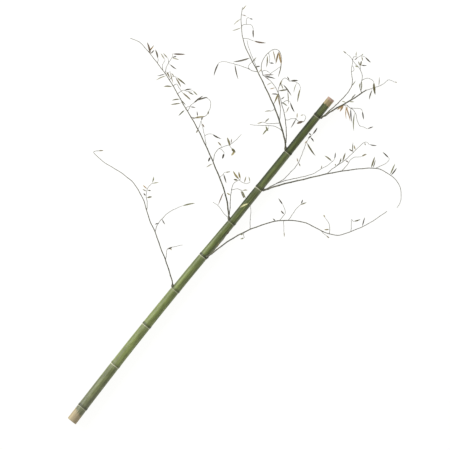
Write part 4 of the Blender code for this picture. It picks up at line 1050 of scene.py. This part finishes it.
def knotted_route(points, knots, sway):
    """The smooth route through the points, drawn finely, which bends a little at its knots."""
    route = smooth_route(points, FINE_STEP)
    distances = walked(route)
    bends = [0.0, *knots, distances[-1]]
    swung = []
    place = 0
    for index, (point, distance) in enumerate(zip(route, distances)):
        while place < len(bends) - 2 and distance > bends[place + 1]:
            place += 1
        share = (distance - bends[place]) / max(bends[place + 1] - bends[place], 1e-9)
        before = sway * (-1) ** place if place else 0.0
        after = sway * (-1) ** (place + 1) if place + 2 < len(bends) else 0.0
        ahead = route[min(index + 1, len(route) - 1)] - route[max(index - 1, 0)]
        aside = ahead.cross(UP).normalized()
        swung.append(point + aside * (before + (after - before) * share))
    return swung


def thinned(route, knots):
    """The points of a finely drawn route that its tube needs: all near its knots and ends, few elsewhere."""
    distances = walked(route)
    kept = []
    for index, distance in enumerate(distances):
        near_knot = any(abs(distance - knot) < KNOT_REACH for knot in knots)
        near_end = min(distance, distances[-1] - distance) < END_REACH
        if near_knot or near_end or not kept or distance - distances[kept[-1]] >= ROUTE_STEP:
            kept.append(index)
    return [route[index] for index in kept], [distances[index] for index in kept]


def add_tube(shell, route, distances, radius_at, sides, marks_at, tint_at):
    """A round tube along a route, closed at both ends."""
    last = len(route) - 1
    aside = None
    rows = []
    for index, point in enumerate(route):
        ahead = (route[min(index + 1, last)] - route[max(index - 1, 0)]).normalized()
        aside = aside or ahead.cross(UP)
        aside = (aside - ahead * aside.dot(ahead)).normalized()
        upward = aside.cross(ahead)
        distance = distances[index]
        radius = radius_at(distance)
        row = []
        for side in range(sides):
            angle = math.tau * side / sides
            across, up = radius * math.cos(angle), radius * math.sin(angle)
            place = point + aside * across + upward * up
            row.append(shell.point(place, (distance, across, up), marks_at(distance), tint_at(distance)))
        rows.append(row)
    foot = shell.point(route[0], (0.0, 0.0, 0.0), marks_at(0.0), tint_at(0.0))
    tip_place = route[-1] + (route[-1] - route[-2]).normalized() * radius_at(distances[-1]) * 0.8
    tip = shell.point(tip_place, (distances[-1], 0.0, 0.0), marks_at(distances[-1]), tint_at(distances[-1]))
    for row, following in zip([[foot], *rows], [*rows, [tip]]):
        shell.band(row, following)


def add_wood(shell, points, foot_radius, tip_radius, foot_swell, sides, draw, tints):
    """A stem or a twig with its knots, swollen at its foot. Returns its finely drawn route."""
    length = walked(smooth_route(points, 0.01))[-1]
    is_stem = sides == STEM_SIDES
    knots = knots_of(length, STEM_KNOT_SPACING if is_stem else TWIG_KNOT_SPACING, draw)
    route = knotted_route(points, knots, STEM_SWAY if is_stem else TWIG_SWAY)
    thin_route, distances = thinned(route, knots)
    length = distances[-1]

    def knot_at(distance):
        nearness = (math.exp(-(((distance - knot) / KNOT_HALF_LENGTH) ** 2)) for knot in knots)
        return max(nearness, default=0.0)

    def marks_at(distance):
        return knot_at(distance), 0.0, 0.0

    def radius_at(distance):
        plain = foot_radius + (tip_radius - foot_radius) * distance / length
        swell = max(0.0, foot_swell - foot_radius) * math.exp(-((distance / (foot_swell * 0.9)) ** 2))
        return plain * (1 + 0.28 * knot_at(distance)) + swell

    def tint_at(distance):
        return blend(tints[0], tints[1], min(1.0, distance / length * 1.2))

    add_tube(shell, thin_route, distances, radius_at, sides, marks_at, tint_at)
    return route


def leaf_shape(draw, width_mm):
    """The seeded variety of one leaf: its width, curl and slope."""
    return {
        "width": width_mm / 1000 * draw.uniform(0.9, 1.1),
        "bow": draw.uniform(-0.05, 0.05),
        "arch": draw.uniform(-0.02, 0.12),
        "roll": math.radians(draw.uniform(-28, 28)),
        "twist": math.radians(draw.uniform(-30, 30)),
        "fold": draw.uniform(0.10, 0.45),
        "slope": draw.uniform(-0.40, 0.12),
        "lift": draw.uniform(-0.1, 0.3),
    }


def fullness(share):
    """A blade's width at a share of its length, over its greatest width."""
    for (start, low), (end, high) in zip(BLADE_FULLNESS, BLADE_FULLNESS[1:]):
        if start <= share <= end:
            part = (share - start) / (end - start)
            eased = part * part * (3 - 2 * part)
            return low + (high - low) * (0.5 * part + 0.5 * eased)
    return 0.0


def half_width(shape, share):
    return max(LEAST_HALF_WIDTH, shape["width"] / 2 * fullness(share))


def blade_point(base, run, share, side, shape, ripple):
    """A point in the middle of a blade's thickness, and the blade's normal there."""
    length = run.length
    aside = run.cross(UP).normalized()
    upward = aside.cross(run).normalized()
    hump = 4 * share * (1 - share) * length
    centre = base + run * share + aside * hump * shape["bow"] + upward * hump * shape["arch"]
    roll = shape["roll"] + shape["twist"] * share
    across = aside * math.cos(roll) + upward * math.sin(roll)
    normal = upward * math.cos(roll) - aside * math.sin(roll)
    half = half_width(shape, share)
    wave = ripple["height"] * math.sin(math.tau * (ripple["waves"] * share + ripple["phase"]) + side)
    raised = half * (shape["fold"] * abs(side) ** 1.4 + wave * side * side * 4 * share * (1 - share))
    return centre + across * half * side + normal * raised, normal


def add_blade(shell, base, tip, shape, ripple, tint):
    """A thin blade, closed all round, with a rib along its underside."""
    run = tip - base
    length = run.length
    seed = ripple["phase"] * 40
    rows = []
    for share in BLADE_SHARES:
        upper = []
        lower = []
        half = half_width(shape, share)
        for side in BLADE_ACROSS:
            middle, normal = blade_point(base, run, share, side, shape, ripple)
            thin = BLADE_THICKNESS / 2 * (1 - 0.6 * side * side)
            rib = 0.00018 * (1 - share) if abs(side) < 0.1 else 0.0
            grain = (side * half, share * length, seed)
            upper.append(shell.point(middle + normal * thin, grain, (abs(side), share, 0.0), tint))
            lower.append(shell.point(middle - normal * (thin + rib), grain, (abs(side), share, 1.0), tint))
        rows.append(upper + lower[::-1])
    end = shell.point(tip, (0.0, length, seed), (0.0, 1.0, 0.0), tint)
    start = shell.point(base, (0.0, 0.0, seed), (0.0, 0.0, 0.0), tint)
    for row, following in zip([[start], *rows], [*rows, [end]]):
        shell.band(row, following)


def lowest_of(base, tip, shape, ripple):
    """The height of the lowest point of a blade."""
    heights = [tip.z]
    for share in BLADE_SHARES:
        for side in (-1, 0, 1):
            heights.append(blade_point(base, tip - base, share, side, shape, ripple)[0].z)
    return min(heights)


def noted_tint(name, number):
    """The colour noted for a leaf of a branch, or None."""
    for tint, numbers in NOTED_LEAVES[name].items():
        if number in numbers:
            return LEAF_TINTS[tint][1]
    return None


def add_stalk(wood, route, tint):
    """A leaf's stalk, a little thinner towards its blade."""
    distances = walked(route)

    def radius_at(distance):
        return STALK_RADIUS * (1.15 - 0.35 * distance / distances[-1])

    add_tube(wood, route, distances, radius_at, STALK_SIDES, lambda _: (0.0, 0.0, 0.0), lambda _: tint)


def add_leaf(wood, leaves, draw, looks, routes, drawn, leaf, noted):
    """The stalk and the blade of one leaf, from the nearest twig to the leaf's end."""
    *pixels, width_mm = leaf
    foot, number = nearest_on(routes, place(*pixels[:2]))
    base = Vector((*place(*pixels[:2]), foot.z))
    tip = Vector((*place(*pixels[2:]), foot.z))
    length = (tip - base).length
    shape = leaf_shape(draw, width_mm)
    stalk = base - foot
    outward = (tip - foot).normalized()
    if stalk.length < SHORTEST_STALK or stalk.dot(outward) < LEAST_STALK_LEAN * stalk.length:
        base = foot + outward * SHORTEST_STALK
    base.z += shape["lift"] * (base - foot).length
    tip.z = base.z + shape["slope"] * length
    ripple = {
        "height": looks.uniform(0.05, 0.22),
        "waves": looks.uniform(1.2, 3.0),
        "phase": looks.random(),
    }
    rise = max(0.0, LEAST_HEIGHT - lowest_of(base, tip, shape, ripple))
    base.z += rise
    tip.z += rise
    weights = [weight for weight, _ in LEAF_TINTS.values()]
    drawn_colour = looks.choices([colour for _, colour in LEAF_TINTS.values()], weights)[0]
    colour = noted or drawn_colour
    shade = looks.uniform(0.86, 1.12)
    tint = tuple(value * shade for value in linear(*colour))
    add_blade(leaves, base, tip, shape, ripple, tint)
    foot = drawn_point(drawn[number], foot)
    into_blade = base + (tip - base).normalized() * 0.002
    stalk = smooth_route([foot, foot.lerp(into_blade, 0.5) + UP * 0.0004, into_blade], 0.003)
    add_stalk(wood, stalk, linear(*blend(TWIG_TINT, colour, 0.5)))


def seat_of(branch):
    """The point on the culm's side where a branch grows."""
    along = RINGS[branch["node"] - 1] + SEAT_PAST_RING
    lift = math.radians(branch["lift"])
    radius = bare_radius(along)
    left = branch["side"] * radius * math.cos(lift) + bow_at(along)
    return Vector((along, left, axis_height(along) + radius * math.sin(lift)))


def make_branch(name, branch, bark, leaf):
    """A branch's wood and its leaves, as two pieces."""
    draw = random.Random(name)
    looks = random.Random(name + "_looks")
    wood = Shell()
    leaves = Shell()
    foot_mm, tip_mm, arch_mm, pixels = branch["stem"]
    points = stem_points(seat_of(branch), tip_mm, arch_mm, pixels)
    routes = [smooth_route(points, STEM_SPACING)]
    tints = (linear(*STEM_TINT), linear(*blend(STEM_TINT, TWIG_TINT, 0.7)))
    radii = (foot_mm / 1000, tip_mm / 1000, COLLAR_RADIUS)
    drawn = [add_wood(wood, points, *radii, STEM_SIDES, looks, tints)]
    for twig_mm, middle_mm, end_mm, pixels in branch["twigs"]:
        foot, number = nearest_on(routes, place(*pixels[0]))
        points = twig_points(foot, middle_mm, end_mm, pixels)
        routes.append(smooth_route(points, TWIG_SPACING))
        radii = (twig_mm / 1000, TWIG_TIP_RADIUS, twig_mm / 1000 * 1.7)
        start = drawn_point(drawn[number], foot)
        shade = looks.uniform(0.0, 0.5)
        tints = [linear(*blend(TWIG_TINT, STEM_TINT, share)) for share in (shade + 0.3, shade)]
        drawn.append(add_wood(wood, [start, *points[1:]], *radii, TWIG_SIDES, looks, tints))
    for number, item in enumerate(branch["leaves"]):
        add_leaf(wood, leaves, draw, looks, routes, drawn, item, noted_tint(name, number))
    return wood.piece(name + "_wood", (bark,), 60), leaves.piece(name + "_leaves", (leaf,), 70)


def make_stage():
    bpy.ops.mesh.primitive_plane_add(size=160.0, location=(0.0, 0.0, -0.0003))
    floor = bpy.context.object
    floor.name = "floor"
    floor.data.materials.append(floor_material())
    world = bpy.data.worlds.new("soft_white")
    world.use_nodes = True
    background = world.node_tree.nodes["Background"]
    background.inputs["Color"].default_value = (1.0, 1.0, 1.0, 1.0)
    background.inputs["Strength"].default_value = 0.60
    bpy.context.scene.world = world
    bpy.context.scene.view_settings.view_transform = "Standard"


def make_key_light():
    """A long soft box to the left of the culm, which draws the bright streak along its upper left side."""
    lamp = bpy.data.lights.new("soft_box", "AREA")
    lamp.shape = "RECTANGLE"
    lamp.size = 7.0
    lamp.size_y = 1.6
    lamp.energy = 345.0
    light = bpy.data.objects.new("soft_box", lamp)
    light.location = (0.0, 4.2, 2.6)
    light.rotation_euler = (Vector((0.0, -0.1, 0.0)) - light.location).to_track_quat("-Z", "Y").to_euler()
    light.visible_camera = False
    bpy.context.scene.collection.objects.link(light)


def make_camera():
    lens = bpy.data.cameras.new("photo_view")
    lens.sensor_width = SENSOR_WIDTH
    lens.lens = SENSOR_WIDTH * CAMERA_HEIGHT / VIEW_WIDTH
    lens.clip_end = 1000.0
    camera = bpy.data.objects.new("photo_view", lens)
    camera.location = (*VIEW_CENTRE, CAMERA_HEIGHT + BUTT_RADIUS)
    camera.rotation_euler = (0.0, 0.0, VIEW_TURN)
    bpy.context.scene.collection.objects.link(camera)
    bpy.context.scene.camera = camera


def settle(piece, node):
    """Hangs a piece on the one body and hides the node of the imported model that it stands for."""
    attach(piece, "root")
    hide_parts(node)


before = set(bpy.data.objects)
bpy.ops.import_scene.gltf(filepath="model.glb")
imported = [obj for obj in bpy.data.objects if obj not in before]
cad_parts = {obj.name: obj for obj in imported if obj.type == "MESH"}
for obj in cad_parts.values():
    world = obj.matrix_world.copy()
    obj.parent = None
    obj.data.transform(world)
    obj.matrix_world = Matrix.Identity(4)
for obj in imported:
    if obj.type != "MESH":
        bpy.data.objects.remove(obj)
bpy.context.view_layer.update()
make_camera()
make_stage()
make_key_light()
settle(make_culm(), "culm")
bark = bark_material()
leaf = leaf_material()
for name, branch in BRANCHES.items():
    for piece in make_branch(name, branch, bark, leaf):
        settle(piece, name)
